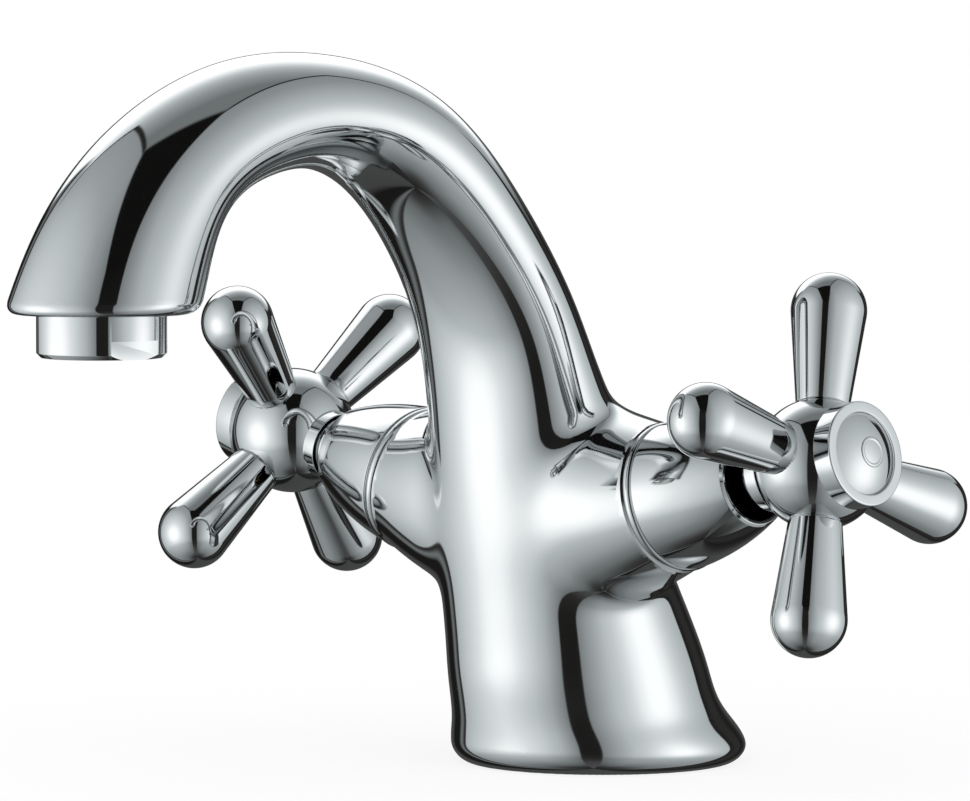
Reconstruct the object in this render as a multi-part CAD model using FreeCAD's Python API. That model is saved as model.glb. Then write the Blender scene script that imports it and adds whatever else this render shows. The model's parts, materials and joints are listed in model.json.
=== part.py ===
import FreeCAD, Part
import math
import os

# Basin mixer tap: one casting with an arched spout and two branches, each
# carrying a quarter turn ceramic valve under a bell shroud and a cross handle.
# Millimetres. The origin is the centre of the foot on the deck, +Z is up, the
# spout points to -Y, the cold handle is on +X and the hot handle on -X.

Vec = FreeCAD.Vector

# Overall sizes
crown_height = 146.9           # deck to the top of the arch
spout_reach = 138.5            # foot centre to the middle of the outlet
outlet_drop = 49.9             # top of the arch to the flat rim of the outlet
foot_width = 60.8              # left to right
foot_depth = 59.8              # front to back
spout_width = 32.4             # left to right at the crown
spout_depth = 22.8             # top to bottom at the crown
outlet_diameter = 37.8
foot_edge_radius = 4.6
outlet_edge_radius = 2.6
overrun = 1.0                  # how far every cutting solid runs past its face
fit_gap = 0.05                 # between pieces that screw or press together
running_gap = 0.06             # radial, between a turning shaft and its bore
face_gap = 0.04                # between flat faces that slide on each other

# Stations of the column from the foot to the valves. Each row: share of the valve
# axes' distance in front of the foot centre, share of their height, shares of the
# way from the spout's width and depth to the foot's, and how far the section
# leans with the spine.
column_shares = (
    (0.018, 0.000, 1.000, 1.000, 0.00),
    (0.046, 0.104, 1.000, 1.000, 0.00),
    (0.231, 0.213, 0.849, 0.878, 0.10),
    (0.408, 0.369, 0.765, 0.797, 0.35),
    (0.675, 0.612, 0.670, 0.661, 0.75),
    (0.950, 0.887, 0.599, 0.520, 1.00),
)
# Stations of the arch from the valves to the crown, with the first two shares
# taken on from the valve axes to the outlet and to the crown.
arch_shares = (
    (0.042, 0.155, 0.466, 0.344, 1.00),
    (0.075, 0.282, 0.342, 0.189, 1.00),
    (0.123, 0.447, 0.238, 0.063, 1.00),
    (0.217, 0.637, 0.119, 0.023, 1.00),
    (0.369, 0.814, 0.038, 0.030, 1.00),
)
# Stations from the crown to the outlet, the heights measured up from the outlet
# and the widths towards the outlet's diameter.
fall_shares = (
    (0.532, 0.760, 0.000, 0.000, 1.00),
    (0.696, 0.734, 0.000, 0.060, 1.00),
    (0.860, 0.538, 0.080, 0.213, 1.00),
    (0.952, 0.253, 0.500, 0.707, 0.70),
)

# Branches that carry the valves
axis_forward = 15.6            # valve axes stand this far in front of the foot centre
axis_height = 49.2
axis_tilt_deg = 12.4           # both valve axes rise outwards
branch_end = 36.6              # from the meeting point of the axes
branch_root_height = 25.0      # half height where the branch meets the column
branch_root_depth = 18.2       # half depth there
branch_root_lift = 2.4         # the root is blended higher above than below
branch_lip = 0.9               # straight rim behind the shroud
branch_edge_chamfer = 0.4
branch_shoulder = 2.6          # from the spigot's radius to the branch's
spigot_length = 4.0            # the spigot carries the shroud's thread
spigot_wall = 3.1
valve_bore_radius = 9.5
valve_seat = 15.5              # from the meeting point of the axes
seat_port_radius = 5.0
seat_port_depth = 7.5

# Sections of a branch from its root to its end. Each row: share of the branch's
# length, and shares of the way from the end radius to the root's height, depth
# and lift.
branch_shares = (
    (0.00, 1.00, 1.00, 0.85),
    (0.33, 0.80, 0.95, 1.00),
    (0.60, 0.47, 0.80, 0.62),
    (0.82, 0.20, 0.40, 0.20),
)

# Waterways
spout_wall = 4.0
mixing_duct_radius = 4.0
mixing_duct_step = 7.0         # above the valve's seat
inlet_x = 9.5
inlet_y = 5.0                  # in front of the foot centre
inlet_thread_radius = 4.46     # core of an M10x1 thread
inlet_thread_length = 14.0
inlet_riser_top = 24.0
inlet_duct_radius = 3.6
stud_y = 10.5                  # behind the foot centre
stud_thread_radius = 3.4       # core of an M8 thread
stud_thread_length = 16.0

# Underside
pocket_height = 30.0
pocket_wall_foot = 10.4
pocket_wall_top = 5.4
boss_wall = 3.7                # round the inlets and the stud's hole
gasket_edge = 5.9              # from the foot's outline to the gasket's groove
gasket_groove_width = 3.0
gasket_groove_depth = 2.2
gasket_side_gap = 0.1
gasket_set_back = 0.15

# Aerator
aerator_thread_radius = 11.5   # core of the M24x1 thread in the spout
aerator_thread_length = 8.0
collar_step = 1.1              # the collar stands out from the thread
collar_height = 8.4
collar_chamfer = 0.9
collar_wall = 1.6
flat_inset = 1.2               # depth of each spanner flat
flat_height = 3.6
flat_turn_deg = -9.0
aerator_lip_height = 1.0
aerator_lip_width = 1.2
insert_gap = 0.25              # between the insert and the sleeve
insert_height = 9.0
insert_rib_count = 8
insert_rib_width = 0.9
insert_wall = 1.1
insert_hub_radius = 1.8
screen_height = 1.2
screen_rows = 4                # slots each side of the middle bar
screen_bar = 0.8
aerator_seal_height = 1.6
aerator_seal_width = 2.6

# Valve cartridge, all places measured out along the valve axis
lip_seal_height = 2.0
lip_seal_width = 2.9
disc_thickness = 3.0
carriage_relief = 0.75         # the carriage is slimmer than the thread
carriage_wall = 0.8
fixed_disc_gap = 0.05
moving_disc_gap = 0.3
carriage_length = 9.3
carriage_window_deg = 70.0
carriage_window_height = 3.4
carriage_window_foot = 3.4
disc_port_inner = 2.6
disc_port_outer = 6.4
disc_port_deg = 78.0
tang_width = 3.0
tang_length = 9.0
tang_depth = 1.1
tang_gap = 0.12
drive_flange_radius = 6.4
drive_flange_height = 2.9
drive_flange_lift = 1.3
washer_height = 0.9
washer_radius = 6.3
washer_shaft_gap = 0.3
spindle_radius = 4.5
spline_step = 0.5              # the spline is slimmer than the spindle
spline_depth = 0.45
spline_teeth = 20
spline_length = 14.0
spline_lead = 1.1              # the spline starts this far below the hub's neck
spindle_hole_radius = 1.9
spindle_hole_depth = 9.0
nut_sides = 6
nut_across_flats = 19.0
nut_height = 5.4
nut_chamfer = 0.6
bonnet_wall = 2.1
bonnet_height = 6.2
body_ring_radius = 0.85        # section of the cartridge's outer O ring
body_ring_step = 2.6           # below the nut
spindle_ring_radius = 0.75     # section of the spindle's O rings
spindle_ring_spacing = 4.4
spindle_ring_step = 5.0        # below the bonnet's end
spindle_ring_count = 2
clip_thickness = 0.8
clip_width = 1.5
clip_groove_depth = 0.7
clip_opening_deg = 50.0

# Shroud
bead_height = 1.8
bead_groove_height = 0.5
bead_groove_depth = 0.5
shroud_length = 22.2
shroud_root_step = 0.3         # inside the branch's end
shroud_rim_gap = 2.1           # between the rim and the handle's neck
shroud_bulge = 0.75
shroud_wall = 1.3
shroud_rim_edge = 0.5
shroud_thread_height = 4.2
shroud_seal_radius = 0.7
shroud_seal_step = 2.0

# Cross handle
hub_centre = 76.5              # along the axis from the meeting point
hub_radius = 13.1
neck_wall = 2.15               # round the splined bore
neck_start = 57.2
neck_collar_step = 1.0
neck_collar_height = 1.6
spline_bore_gap = 0.05
screw_web = 3.0
screw_cup_radius = 5.4
index_seat_radius = 8.5
index_seat_gap = 0.6           # below the bezel's spigot
spoke_root_radius = 5.4
spoke_root_chamfer = 0.35
spoke_centre = 32.0            # from the hub centre to the bulb's centre
spoke_bulb_radius = 7.6
spoke_stud_radius = 2.5
spoke_stud_length = 4.6
spoke_count = 4
cold_spoke_turn_deg = -18.2
hot_spoke_turn_deg = 49.2

# Index
index_ring_flange = 2.0        # stands out from the hub's seat
index_ring_face = 12.7         # from the hub centre
index_ring_height = 4.4
index_ring_edge = 0.5
index_ring_step = 0.2          # the button's recess is inside the seat's radius
index_spigot_length = 4.0
index_spigot_wall = 1.4
index_button_thickness = 2.2
index_button_rise = 2.0
index_button_inset = 0.5
index_button_gap = 0.06

# Handle screw
screw_radius = 1.85
screw_length = 11.0
screw_head_radius = 3.5
screw_head_height = 2.4
screw_slot_width = 1.0
screw_slot_depth = 1.1

# Worked out from the sizes above
full_turn = 360.0
half_turn = 180.0
quarter_turn = 90.0
spigot_radius = valve_bore_radius + spigot_wall
branch_end_radius = spigot_radius + branch_shoulder
spigot_end = branch_end + spigot_length
outlet_height = crown_height - outlet_drop
gasket_groove_outer = (foot_width + foot_depth) / 4 - gasket_edge
gasket_groove_inner = gasket_groove_outer - gasket_groove_width
aerator_sleeve_radius = aerator_thread_radius - fit_gap
aerator_sleeve_bore = aerator_sleeve_radius - collar_wall
aerator_bore_depth = aerator_thread_length + aerator_seal_height + face_gap
collar_radius = aerator_thread_radius + collar_step
insert_radius = aerator_sleeve_bore - insert_gap
cartridge_radius = valve_bore_radius - fit_gap
carriage_radius = cartridge_radius - carriage_relief
carriage_bore = carriage_radius - carriage_wall
spline_radius = spindle_radius - spline_step
spline_root_radius = spline_radius - spline_depth
neck_radius = spline_radius + spline_bore_gap + neck_wall
shroud_root_radius = branch_end_radius - shroud_root_step
shroud_rim_radius = neck_radius + shroud_rim_gap + shroud_wall
fixed_disc_foot = valve_seat + lip_seal_height + fixed_disc_gap
moving_disc_foot = fixed_disc_foot + disc_thickness + face_gap
moving_disc_top = moving_disc_foot + disc_thickness
flange_foot = moving_disc_top + drive_flange_lift
flange_top = flange_foot + drive_flange_height
washer_foot = flange_top + face_gap
cartridge_shoulder = washer_foot + washer_height + face_gap
carriage_end = fixed_disc_foot + carriage_length
nut_top = spigot_end + nut_height
bonnet_top = nut_top + bonnet_height
clip_foot = bonnet_top + face_gap
clip_top = clip_foot + clip_thickness
spline_start = neck_start - spline_lead
spline_end = spline_start + spline_length
shroud_end = branch_end + shroud_length
ring_top = hub_centre + index_ring_face
ring_foot = ring_top - index_ring_height
button_foot = ring_top - index_button_inset - index_button_thickness
button_recess = index_seat_radius - index_ring_step
web_foot = spline_end + face_gap
web_top = web_foot + screw_web
# the spokes stand on flats as wide as their roots, cut in the ball
spoke_seat = math.sqrt(hub_radius ** 2 - spoke_root_radius ** 2)


def turned(points):
    """Turn a closed outline of (radius, height) points about Z."""
    corners = [Vec(r, 0, z) for r, z in points]
    wire = Part.makePolygon(corners + corners[:1])
    return Part.Face(wire).revolve(Vec(0, 0, 0), Vec(0, 0, 1), full_turn)


def turned_curve(pieces):
    """Turn a closed outline about Z. A piece is a point, or a pair of points
    that an arc passes through and ends at."""
    edges = []
    first = pieces[0]
    last = first
    for piece in list(pieces[1:]) + [first]:
        if isinstance(piece[0], tuple):
            middle, end = piece
            arc = Part.Arc(Vec(last[0], 0, last[1]), Vec(middle[0], 0, middle[1]), Vec(end[0], 0, end[1]))
            edges.append(arc.toShape())
            last = end
        else:
            edges.append(Part.LineSegment(Vec(last[0], 0, last[1]), Vec(piece[0], 0, piece[1])).toShape())
            last = piece
    face = Part.Face(Part.Wire(edges))
    return face.revolve(Vec(0, 0, 0), Vec(0, 0, 1), full_turn)


def drum(radius, foot, top):
    """A cylinder about Z between two heights."""
    return Part.makeCylinder(radius, top - foot, Vec(0, 0, foot))


def ring(inner, outer, foot, top):
    """A plain ring about Z between two heights."""
    return turned(((inner, foot), (outer, foot), (outer, top), (inner, top)))


def sector(inner, outer, foot, top, span, turn):
    """A sector of a ring, its middle turned about Z."""
    corners = [Vec(r, 0, z) for r, z in ((inner, foot), (outer, foot), (outer, top), (inner, top))]
    face = Part.Face(Part.makePolygon(corners + corners[:1]))
    solid = face.revolve(Vec(0, 0, 0), Vec(0, 0, 1), span)
    solid.rotate(Vec(0, 0, 0), Vec(0, 0, 1), turn - span / 2)
    return solid


def cut_each(solid, tools):
    """Cut a list of tools from a solid, one after another."""
    for tool in tools:
        solid = solid.cut(tool)
    return solid


def fuse_each(solid, others):
    """Fuse a list of solids to a solid, one after another."""
    for other in others:
        solid = solid.fuse(other)
    return solid


def rod(start, end, radius):
    """A round bar or duct from one point to another."""
    along = end - start
    return Part.makeCylinder(radius, along.Length, start, along)


def on_axis(distance, side):
    """A point on a valve axis, side being 1 for cold and -1 for hot."""
    tilt = math.radians(axis_tilt_deg)
    return Vec(side * distance * math.cos(tilt), -axis_forward, axis_height + distance * math.sin(tilt))


def place(solid, side, turn=0.0):
    """Put a piece made about Z on the cold or hot valve axis."""
    placed = solid.copy()
    placed.rotate(Vec(0, 0, 0), Vec(0, 0, 1), turn)
    lean = quarter_turn - axis_tilt_deg
    placed.rotate(Vec(0, 0, 0), Vec(0, 1, 0), side * lean)
    if side > 0:
        # the local X axis points up for both sides
        placed.rotate(Vec(0, 0, 0), on_axis(1, side) - on_axis(0, side), half_turn)
    placed.translate(on_axis(0, side))
    return placed


def station(y, z, wide, deep, lean, end_width, end_depth):
    """One section of the casting: centre, half width, half depth and lean."""
    half_width = (spout_width + wide * (end_width - spout_width)) / 2
    half_depth = (spout_depth + deep * (end_depth - spout_depth)) / 2
    return Vec(0, -y, z), half_width, half_depth, lean


def spine_stations():
    """All sections of the casting from the foot to the outlet."""
    rows = []
    for y, z, wide, deep, lean in column_shares:
        rows.append(station(y * axis_forward, z * axis_height, wide, deep, lean, foot_width, foot_depth))
    onward = spout_reach - axis_forward
    for y, z, wide, deep, lean in arch_shares:
        height = axis_height + z * (crown_height - axis_height)
        rows.append(station(axis_forward + y * onward, height, wide, deep, lean, foot_width, foot_depth))
    outlet = outlet_diameter
    for y, z, wide, deep, lean in fall_shares:
        height = outlet_height + z * outlet_drop
        rows.append(station(axis_forward + y * onward, height, wide, deep, lean, outlet, outlet))
    rows.append(station(spout_reach, outlet_height, 1, 1, 0, outlet, outlet))
    return rows


def spine_directions(stations):
    """Direction of the spine at each station, softened by the row's lean."""
    curve = Part.BSplineCurve()
    curve.interpolate([row[0] for row in stations])
    directions = []
    for centre, half_width, half_depth, lean in stations:
        along = curve.tangent(curve.parameter(centre))[0]
        upright = Vec(0, 0, 1 if along.z > 0 else -1)
        blended = along * lean + upright * (1 - lean)
        directions.append(blended.normalize())
    return directions


def section(centre, half_width, half_depth, direction):
    """An oval wire across the spine. It starts at its +X side."""
    circle = Part.Wire(Part.Circle(Vec(0, 0, 0), Vec(0, 0, 1), 1).toShape())
    across = direction.cross(Vec(1, 0, 0)).normalize()
    grow = FreeCAD.Matrix(
        half_width, across.x * half_depth, direction.x, centre.x,
        0, across.y * half_depth, direction.y, centre.y,
        0, across.z * half_depth, direction.z, centre.z,
        0, 0, 0, 1)
    return Part.Wire(circle.transformGeometry(grow).Edges)


def casting_skin():
    """The column, arch and spout as one smooth solid."""
    stations = spine_stations()
    directions = spine_directions(stations)
    wires = [section(row[0], row[1], row[2], way) for row, way in zip(stations, directions)]
    return Part.makeLoft(wires, True, False)


def waterway():
    """The core that leaves the duct up the column and along the spout."""
    half_width = spout_width / 2 - spout_wall
    half_depth = spout_depth / 2 - spout_wall
    stations = spine_stations()
    directions = spine_directions(stations)
    first = len(column_shares)
    wires = []
    for row, way in list(zip(stations, directions))[first:-1]:
        wires.append(section(row[0], half_width, half_depth, way))
    top = Vec(0, -spout_reach, outlet_height + aerator_bore_depth - overrun)
    mouth = aerator_sleeve_bore
    wires.append(section(top, mouth, mouth, Vec(0, 0, -1)))
    return Part.makeLoft(wires, True, False)


def branch(side):
    """One valve branch with its threaded spigot, not yet bored."""
    wires = []
    for along, high, deep, lift in branch_shares:
        half_height = branch_end_radius + high * (branch_root_height - branch_end_radius)
        half_depth = branch_end_radius + deep * (branch_root_depth - branch_end_radius)
        centre = Vec(lift * branch_root_lift, 0, along * branch_end)
        wires.append(section(centre, half_height, half_depth, Vec(0, 0, 1)))
    lip_foot = branch_end - branch_lip
    wires.append(section(Vec(0, 0, lip_foot), branch_end_radius, branch_end_radius, Vec(0, 0, 1)))
    flare = Part.makeLoft(wires, True, False)
    edge = branch_edge_chamfer
    lip = turned((
        (0, lip_foot), (branch_end_radius, lip_foot), (branch_end_radius, branch_end - edge),
        (branch_end_radius - edge, branch_end), (spigot_radius, branch_end),
        (spigot_radius, spigot_end), (0, spigot_end)))
    groove_middle = spigot_end - shroud_seal_step
    groove = ring(spigot_radius - 2 * shroud_seal_radius, spigot_radius + overrun,
                  groove_middle - shroud_seal_radius, groove_middle + shroud_seal_radius)
    return place(flare.fuse(lip).cut(groove), side)


def valve_bore(side):
    """Bore, seat port and ducts of one valve."""
    bore = drum(valve_bore_radius, valve_seat, spigot_end + overrun)
    port = drum(seat_port_radius, valve_seat - seat_port_depth, valve_seat + overrun)
    cut = place(bore.fuse(port), side)
    inlet = Vec(side * inlet_x, -inlet_y, 0)
    mouth = inlet - Vec(0, 0, overrun)
    cut = cut.fuse(Part.makeCylinder(inlet_thread_radius, inlet_thread_length + overrun, mouth))
    riser_top = inlet + Vec(0, 0, inlet_riser_top)
    cut = cut.fuse(rod(inlet, riser_top, inlet_duct_radius))
    cut = cut.fuse(Part.makeSphere(inlet_duct_radius, riser_top))
    cut = cut.fuse(rod(riser_top, on_axis(valve_seat - seat_port_depth / 2, side), inlet_duct_radius))
    meeting = spine_stations()[len(column_shares)][0] + Vec(0, 0, mixing_duct_radius / 2)
    return cut.fuse(rod(on_axis(valve_seat + mixing_duct_step, side), meeting, mixing_duct_radius))


def station_at(height):
    """Centre, half width and half depth of the column at one height."""
    rows = spine_stations()
    above = next(k for k, row in enumerate(rows) if row[0].z > height)
    low, high = rows[above - 1], rows[above]
    way = (height - low[0].z) / (high[0].z - low[0].z)
    return [start + (end - start) * way for start, end in zip(low[:3], high[:3])]


def underside():
    """Pocket under the foot, less the bosses that the holes are drilled in."""
    middle, half_width, half_depth = spine_stations()[0][:3]
    foot_wire = section(middle - Vec(0, 0, overrun), half_width - pocket_wall_foot,
                        half_depth - pocket_wall_foot, Vec(0, 0, 1))
    middle, half_width, half_depth = station_at(pocket_height)
    top_wire = section(middle, half_width - pocket_wall_top, half_depth - pocket_wall_top, Vec(0, 0, 1))
    pocket = Part.makeLoft([foot_wire, top_wire], True, True)
    height = pocket_height + 2 * overrun
    left = Vec(-inlet_x, -inlet_y, -overrun)
    right = Vec(inlet_x, -inlet_y, -overrun)
    back = Vec(0, stud_y, -overrun)
    web = Part.Face(Part.makePolygon([left, right, back, left])).extrude(Vec(0, 0, height))
    bosses = [Part.makeCylinder(stud_thread_radius + boss_wall, height, back)]
    for corner in (left, right):
        bosses.append(Part.makeCylinder(inlet_thread_radius + boss_wall, height, corner))
    return pocket.cut(fuse_each(web, bosses))


def level_edges(solid, height):
    """Edges of a solid that lie flat at one height."""
    return [edge for edge in solid.Edges
            if edge.BoundBox.ZLength < face_gap and abs(edge.CenterOfMass.z - height) < face_gap]


def mixer_body():
    """The casting: column, branches, arch and spout with all its bores."""
    body = casting_skin()
    body = body.makeFillet(foot_edge_radius, level_edges(body, 0))
    body = body.makeFillet(outlet_edge_radius, level_edges(body, outlet_height))
    body = fuse_each(body, (branch(1), branch(-1)))
    mouth = Part.makeCylinder(aerator_thread_radius, aerator_bore_depth + overrun,
                              Vec(0, -spout_reach, outlet_height - overrun))
    stud = Part.makeCylinder(stud_thread_radius, stud_thread_length + overrun, Vec(0, stud_y, -overrun))
    groove = ring(gasket_groove_inner, gasket_groove_outer, -overrun, gasket_groove_depth)
    return cut_each(body, (underside(), waterway(), valve_bore(1), valve_bore(-1), mouth, stud, groove))


def base_gasket():
    """Flat rubber ring pressed into the groove under the foot."""
    return ring(gasket_groove_inner + gasket_side_gap, gasket_groove_outer - gasket_side_gap,
                gasket_set_back, gasket_groove_depth)


def aerator_housing():
    """Collar and threaded sleeve that screws up into the spout."""
    bottom = outlet_height - collar_height
    top = outlet_height + aerator_thread_length
    thread = aerator_sleeve_radius
    bore = aerator_sleeve_bore
    lip = bore - aerator_lip_width
    chamfer = collar_chamfer
    body = turned((
        (lip, bottom), (collar_radius - chamfer, bottom), (collar_radius, bottom + chamfer),
        (collar_radius, outlet_height), (thread, outlet_height), (thread, top), (bore, top),
        (bore, bottom + aerator_lip_height), (lip, bottom + aerator_lip_height)))
    flats = []
    for side in (1, -1):
        block = Part.makeBox(collar_radius, 2 * collar_radius, flat_height + overrun,
                             Vec(0, -collar_radius, bottom - overrun))
        block.translate(Vec(collar_radius - flat_inset, 0, 0))
        block.rotate(Vec(0, 0, 0), Vec(0, 0, 1), flat_turn_deg + (0 if side > 0 else half_turn))
        flats.append(block)
    body = cut_each(body, flats)
    body.translate(Vec(0, -spout_reach, 0))
    return body


def aerator_insert():
    """Plastic flow straightener: two rings, a hub and radial ribs."""
    foot = outlet_height - collar_height + aerator_lip_height + screen_height + fit_gap
    top = foot + insert_height
    pieces = [ring(insert_radius - insert_wall, insert_radius, foot, top),
              drum(insert_hub_radius, foot, top)]
    for index in range(insert_rib_count):
        rib = Part.makeBox(insert_radius - insert_wall / 2, insert_rib_width, insert_height,
                           Vec(0, -insert_rib_width / 2, foot))
        rib.rotate(Vec(0, 0, 0), Vec(0, 0, 1), index * full_turn / insert_rib_count)
        pieces.append(rib)
    body = fuse_each(pieces[0], pieces[1:]).removeSplitter()
    body.translate(Vec(0, -spout_reach, 0))
    return body


def aerator_screen():
    """Slotted outlet plate held up by the collar's lip."""
    foot = outlet_height - collar_height + aerator_lip_height
    plate = drum(insert_radius, foot, foot + screen_height)
    pitch = 2 * insert_radius / (2 * screen_rows + 1)
    slots = []
    for row in range(-screen_rows, screen_rows + 1):
        middle = row * pitch
        half_length = math.sqrt(max((insert_radius - insert_wall) ** 2 - (abs(middle) + pitch / 2) ** 2, 0))
        if half_length < pitch:
            continue
        slots.append(Part.makeBox(2 * half_length, pitch - screen_bar, screen_height + 2 * overrun,
                                  Vec(-half_length, middle - (pitch - screen_bar) / 2, foot - overrun)))
    body = cut_each(plate, slots)
    body.translate(Vec(0, -spout_reach, 0))
    return body


def aerator_seal():
    """Rubber washer between the aerator's sleeve and the spout's bore."""
    foot = outlet_height + aerator_thread_length
    outer = aerator_sleeve_radius
    body = ring(outer - aerator_seal_width, outer, foot, foot + aerator_seal_height)
    body.translate(Vec(0, -spout_reach, 0))
    return body


def lip_seal():
    """Rubber seal between the casting's seat and the fixed disc."""
    outer = carriage_bore - fit_gap
    return ring(outer - lip_seal_width, outer, valve_seat, valve_seat + lip_seal_height)


def disc_ports(foot, top, turn):
    """Two opposite sector openings of a ceramic disc."""
    below = foot - overrun
    above = top + overrun
    return [sector(disc_port_inner, disc_port_outer, below, above, disc_port_deg, turn + across)
            for across in (0, half_turn)]


def fixed_disc():
    """Lower ceramic disc with its two sector ports."""
    top = fixed_disc_foot + disc_thickness
    return cut_each(drum(carriage_bore - fit_gap, fixed_disc_foot, top), disc_ports(fixed_disc_foot, top, 0))


def moving_disc():
    """Upper ceramic disc. Its ports lie crossways when the valve is closed."""
    disc = drum(carriage_bore - moving_disc_gap, moving_disc_foot, moving_disc_top)
    disc = cut_each(disc, disc_ports(moving_disc_foot, moving_disc_top, quarter_turn))
    half_length = tang_length / 2 + tang_gap
    half_width = tang_width / 2 + tang_gap
    slot = Part.makeBox(2 * half_length, 2 * half_width, tang_depth + tang_gap + overrun,
                        Vec(-half_length, -half_width, moving_disc_top - tang_depth - tang_gap))
    return disc.cut(slot)


def cartridge_body():
    """Brass headwork: disc carriage, threaded body, nut and bonnet."""
    shaft_bore = spindle_radius + running_gap
    flange_bore = drive_flange_radius + moving_disc_gap
    bonnet_radius = shaft_bore - running_gap + bonnet_wall
    thread = cartridge_radius
    groove_middle = spigot_end - body_ring_step
    groove_floor = thread - body_ring_radius * 2
    outline = (
        (carriage_bore, fixed_disc_foot), (carriage_radius, fixed_disc_foot), (carriage_radius, carriage_end),
        (thread, carriage_end), (thread, groove_middle - body_ring_radius),
        (groove_floor, groove_middle - body_ring_radius), (groove_floor, groove_middle + body_ring_radius),
        (thread, groove_middle + body_ring_radius), (thread, nut_top),
        (bonnet_radius, nut_top), (bonnet_radius, bonnet_top), (shaft_bore, bonnet_top),
        (shaft_bore, cartridge_shoulder), (flange_bore, cartridge_shoulder),
        (flange_bore, moving_disc_top + moving_disc_gap), (carriage_bore, moving_disc_top + moving_disc_gap))
    body = turned(outline)
    corner = nut_across_flats / 2 / math.cos(math.radians(half_turn / nut_sides))
    corners = []
    for index in range(nut_sides):
        angle = math.radians(full_turn * index / nut_sides)
        corners.append(Vec(corner * math.cos(angle), corner * math.sin(angle), spigot_end))
    nut = Part.Face(Part.makePolygon(corners + corners[:1])).extrude(Vec(0, 0, nut_height))
    cap = turned(((0, spigot_end - overrun), (corner, spigot_end - overrun), (corner, nut_top - nut_chamfer),
                  (corner - 2 * nut_chamfer, nut_top), (0, nut_top)))
    nut = nut.common(cap).cut(drum(shaft_bore, spigot_end - overrun, nut_top + overrun))
    window_foot = fixed_disc_foot + carriage_window_foot
    window_top = window_foot + carriage_window_height
    windows = [sector(carriage_bore - overrun, carriage_radius + overrun, window_foot, window_top,
                      carriage_window_deg, turn) for turn in (0, half_turn)]
    return cut_each(body.fuse(nut), windows)


def torus(middle_radius, section_radius, height):
    """An O ring about Z."""
    return Part.makeTorus(middle_radius, section_radius, Vec(0, 0, height))


def cartridge_o_ring():
    """O ring that seals the cartridge in the branch."""
    return torus(cartridge_radius - body_ring_radius, body_ring_radius - fit_gap, spigot_end - body_ring_step)


def thrust_washer():
    """Slippery washer between the spindle's flange and the cartridge."""
    return ring(spindle_radius + washer_shaft_gap, washer_radius, washer_foot, washer_foot + washer_height)


def spindle_ring_heights():
    """Places of the spindle's O rings."""
    first = bonnet_top - spindle_ring_step
    return [first - index * spindle_ring_spacing for index in range(spindle_ring_count)]


def spindle():
    """Turning spindle: tang, flange, shaft with grooves and splined end."""
    tang = Part.makeBox(tang_length, tang_width, flange_foot - moving_disc_top + tang_depth,
                        Vec(-tang_length / 2, -tang_width / 2, moving_disc_top - tang_depth))
    body = drum(drive_flange_radius, flange_foot, flange_top)
    body = body.fuse(drum(spindle_radius, flange_foot, spline_start))
    body = body.fuse(tang)
    points = []
    for tooth in range(2 * spline_teeth):
        radius = spline_radius if tooth % 2 else spline_root_radius
        angle = math.radians(tooth * half_turn / spline_teeth)
        points.append(Vec(radius * math.cos(angle), radius * math.sin(angle), spline_start))
    spline = Part.Face(Part.makePolygon(points + points[:1])).extrude(Vec(0, 0, spline_length))
    body = body.fuse(spline)
    cuts = [drum(spindle_hole_radius, spline_end - spindle_hole_depth, spline_end + overrun),
            ring(spindle_radius - clip_groove_depth, spindle_radius + overrun, clip_foot, clip_top)]
    for height in spindle_ring_heights():
        cuts.append(ring(spindle_radius - 2 * spindle_ring_radius, spindle_radius + overrun,
                         height - spindle_ring_radius, height + spindle_ring_radius))
    return cut_each(body, cuts)


def spindle_o_rings():
    """Pair of O rings in the spindle's grooves."""
    middle = spindle_radius + running_gap / 2 - spindle_ring_radius
    return Part.makeCompound([torus(middle, spindle_ring_radius - running_gap / 2, height)
                              for height in spindle_ring_heights()])


def spindle_clip():
    """Open spring clip that keeps the spindle in the cartridge."""
    inner = spindle_radius - clip_groove_depth + fit_gap
    top = clip_top - face_gap
    return sector(inner, inner + clip_width, clip_foot + face_gap, top, full_turn - clip_opening_deg, 0)


def shroud():
    """Bell shaped cover with a bead at its foot, screwed on the spigot."""
    foot = branch_end
    bead = bead_height / 2
    seat = branch_end_radius - bead / 2
    neck = seat - bead_groove_depth
    body_foot = foot + bead_height + bead_groove_height
    edge = shroud_rim_edge
    bore = spigot_radius + fit_gap
    thread_top = foot + shroud_thread_height
    middle_z = (body_foot + shroud_end) / 2
    middle_r = (shroud_root_radius + shroud_rim_radius) / 2 + shroud_bulge
    wall = shroud_wall
    return turned_curve((
        (bore, foot), (seat, foot),
        ((branch_end_radius, foot + bead), (seat, foot + bead_height)),
        (neck, foot + bead_height), (neck, body_foot), (shroud_root_radius, body_foot),
        ((middle_r, middle_z), (shroud_rim_radius, shroud_end - edge)),
        (shroud_rim_radius - edge, shroud_end), (shroud_rim_radius - wall, shroud_end),
        ((middle_r - wall, middle_z), (shroud_root_radius - 2 * wall, thread_top)),
        (bore, thread_top)))


def shroud_seal():
    """O ring that steadies the shroud on the spigot's root."""
    middle = spigot_radius - shroud_seal_radius
    return torus(middle, shroud_seal_radius - fit_gap, spigot_end - shroud_seal_step)


def spoke_angles():
    """Angles of the spokes about the valve axis before the handle is turned."""
    return [full_turn * index / spoke_count for index in range(spoke_count)]


def outward(solid, angle):
    """Lay a piece made about Z along a spoke, from the hub's centre outwards."""
    laid = solid.copy()
    laid.rotate(Vec(0, 0, 0), Vec(0, 1, 0), quarter_turn)
    laid.rotate(Vec(0, 0, 0), Vec(0, 0, 1), angle)
    laid.translate(Vec(0, 0, hub_centre))
    return laid


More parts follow.
